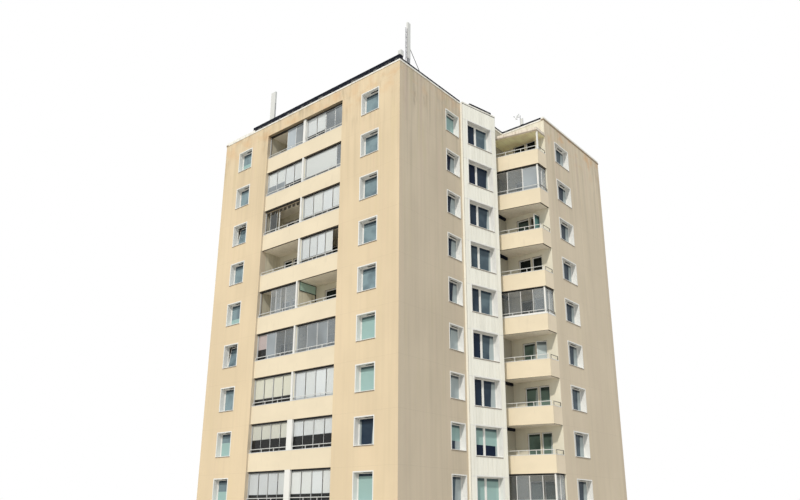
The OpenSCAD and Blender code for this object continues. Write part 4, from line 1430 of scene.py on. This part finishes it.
class BLOCK_OT_stage(Piece, bpy.types.Operator):
    """Pale floor, soft light and the camera at the photograph's angle"""

    bl_idname = "block.stage"
    bl_label = "Stage"

    def execute(self, context):
        scene, stage = context.scene, context.scene.block_stage
        scene.view_settings.view_transform = "Standard"
        self.floor(scene)
        self.world(scene, stage)
        key = bpy.data.lights.new("key_light", "SUN")
        key.energy, key.angle, key.color = stage.sun, math.radians(4), (1.0, 0.94, 0.85)
        lamp = bpy.data.objects.new("key_light", key)
        lamp.rotation_mode = "QUATERNION"
        lamp.rotation_quaternion = Vector((0.28, -0.715, 0.64)).to_track_quat("Z", "Y")
        scene.collection.objects.link(lamp)
        self.camera(scene, stage)
        return DONE

    def floor(self, scene):
        """A wide disc that is pale to the camera, fades to white far off and throws back little light."""
        mesh = bpy.data.meshes.new("floor")
        rim = [(FLOOR_RADIUS * a, FLOOR_RADIUS * b, -0.002) for a, b in circle(FLOOR_SIDES)]
        mesh.from_pydata(rim, [], [range(FLOOR_SIDES)])
        f = Finish("floor", roughness=0.9, specular=0.1)
        seen = f.node("ShaderNodeLightPath", output="Is Camera Ray")
        f.set("Base Color", f.blend(seen, (0.60, 0.55, 0.48), (0.86, 0.86, 0.85)))
        away = f.node("ShaderNodeVectorMath", {"operation": "LENGTH"}, {0: f.place}, "Value")
        white = f.node("ShaderNodeEmission", sockets={"Color": (1, 1, 1), "Strength": 1.0})
        near = Value(f, f.shader.outputs[0])
        mixed = f.node("ShaderNodeMixShader",
                       sockets={0: f.ramp(away, *FLOOR_FADE) * seen, 1: near, 2: white})
        f.join(mixed, f.tree.nodes["Material Output"].inputs["Surface"])
        mesh.materials.append(f.material)
        made = bpy.data.objects.new("floor", mesh)
        scene.collection.objects.link(made)

    def world(self, scene, stage):
        """Even light, with a white background for the camera, gloss and clear panes."""
        scene.world = world = bpy.data.worlds.new("soft_light")
        world.use_nodes = True
        tree = world.node_tree
        light, white = tree.nodes["Background"], tree.nodes.new("ShaderNodeBackground")
        light.inputs["Color"].default_value = (0.86, 0.94, 1.0, 1)
        light.inputs["Strength"].default_value = stage.sky
        white.inputs["Color"].default_value = (1, 1, 1, 1)
        rays = tree.nodes.new("ShaderNodeLightPath").outputs
        seen = rays["Is Camera Ray"]
        for ray in ("Is Glossy Ray", "Is Transmission Ray"):
            either = tree.nodes.new("ShaderNodeMath")
            either.operation = "MAXIMUM"
            tree.links.new(seen, either.inputs[0])
            tree.links.new(rays[ray], either.inputs[1])
            seen = either.outputs[0]
        mix = tree.nodes.new("ShaderNodeMixShader")
        for source, socket in zip((seen, light.outputs[0], white.outputs[0]), mix.inputs):
            tree.links.new(source, socket)
        tree.links.new(mix.outputs[0], tree.nodes["World Output"].inputs["Surface"])

    def camera(self, scene, stage):
        """A camera turned left, tilted up and rolled as the stage's numbers say."""
        turn, tilt, roll = (math.radians(a) for a in (stage.turn, stage.tilt, stage.roll))
        ahead = Vector((-math.sin(turn) * math.cos(tilt), math.cos(turn) * math.cos(tilt), math.sin(tilt)))
        level = Vector((math.cos(turn), math.sin(turn), 0))
        up = level.cross(ahead)
        right = math.cos(roll) * level + math.sin(roll) * up
        over = math.cos(roll) * up - math.sin(roll) * level
        data = bpy.data.cameras.new("camera")
        data.lens, data.sensor_width, data.shift_y = stage.lens, 36.0, stage.lift
        data.clip_start, data.clip_end = 0.5, 2000
        made = bpy.data.objects.new("camera", data)
        facing = Matrix((right, over, -ahead)).transposed().to_4x4()
        made.matrix_world = Matrix.Translation(stage.place) @ facing
        scene.collection.objects.link(made)
        scene.camera = made


OPERATORS = (
    BLOCK_OT_stage, BLOCK_OT_walls, BLOCK_OT_slabs, BLOCK_OT_metalwork, BLOCK_OT_linings, BLOCK_OT_windows,
    BLOCK_OT_doors, BLOCK_OT_boards, BLOCK_OT_loggia_glazing, BLOCK_OT_balcony_glazing, BLOCK_OT_cappings,
    BLOCK_OT_awning, BLOCK_OT_roof_fittings,
)


class BLOCK_PT_panel(bpy.types.Panel):
    """The block's sizes, colours and pieces"""

    bl_label = "Apartment block"
    bl_idname = "BLOCK_PT_panel"
    bl_space_type = "VIEW_3D"
    bl_region_type = "UI"
    bl_category = "Block"

    def draw(self, context):
        for operator in OPERATORS:
            self.layout.operator(operator.bl_idname)
        for group in (context.scene.block_colours, context.scene.block_sizes, context.scene.block_stage):
            box = self.layout.box()
            for name in group.__annotations__:
                box.prop(group, name)


CLASSES = (BlockColours, BlockSizes, BlockStage, *OPERATORS, BLOCK_PT_panel)


def register():
    for cls in CLASSES:
        bpy.utils.register_class(cls)
    bpy.types.Scene.block_colours = PointerProperty(type=BlockColours)
    bpy.types.Scene.block_sizes = PointerProperty(type=BlockSizes)
    bpy.types.Scene.block_stage = PointerProperty(type=BlockStage)


def unregister():
    del bpy.types.Scene.block_colours
    del bpy.types.Scene.block_sizes
    del bpy.types.Scene.block_stage
    for cls in reversed(CLASSES):
        bpy.utils.unregister_class(cls)


def main():
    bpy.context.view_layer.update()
    register()
    for operator in OPERATORS:
        group, name = operator.bl_idname.split(".")
        if getattr(getattr(bpy.ops, group), name)() != DONE:
            raise RuntimeError(f"{operator.bl_idname} did not finish")


if __name__ == "__main__":
    main()
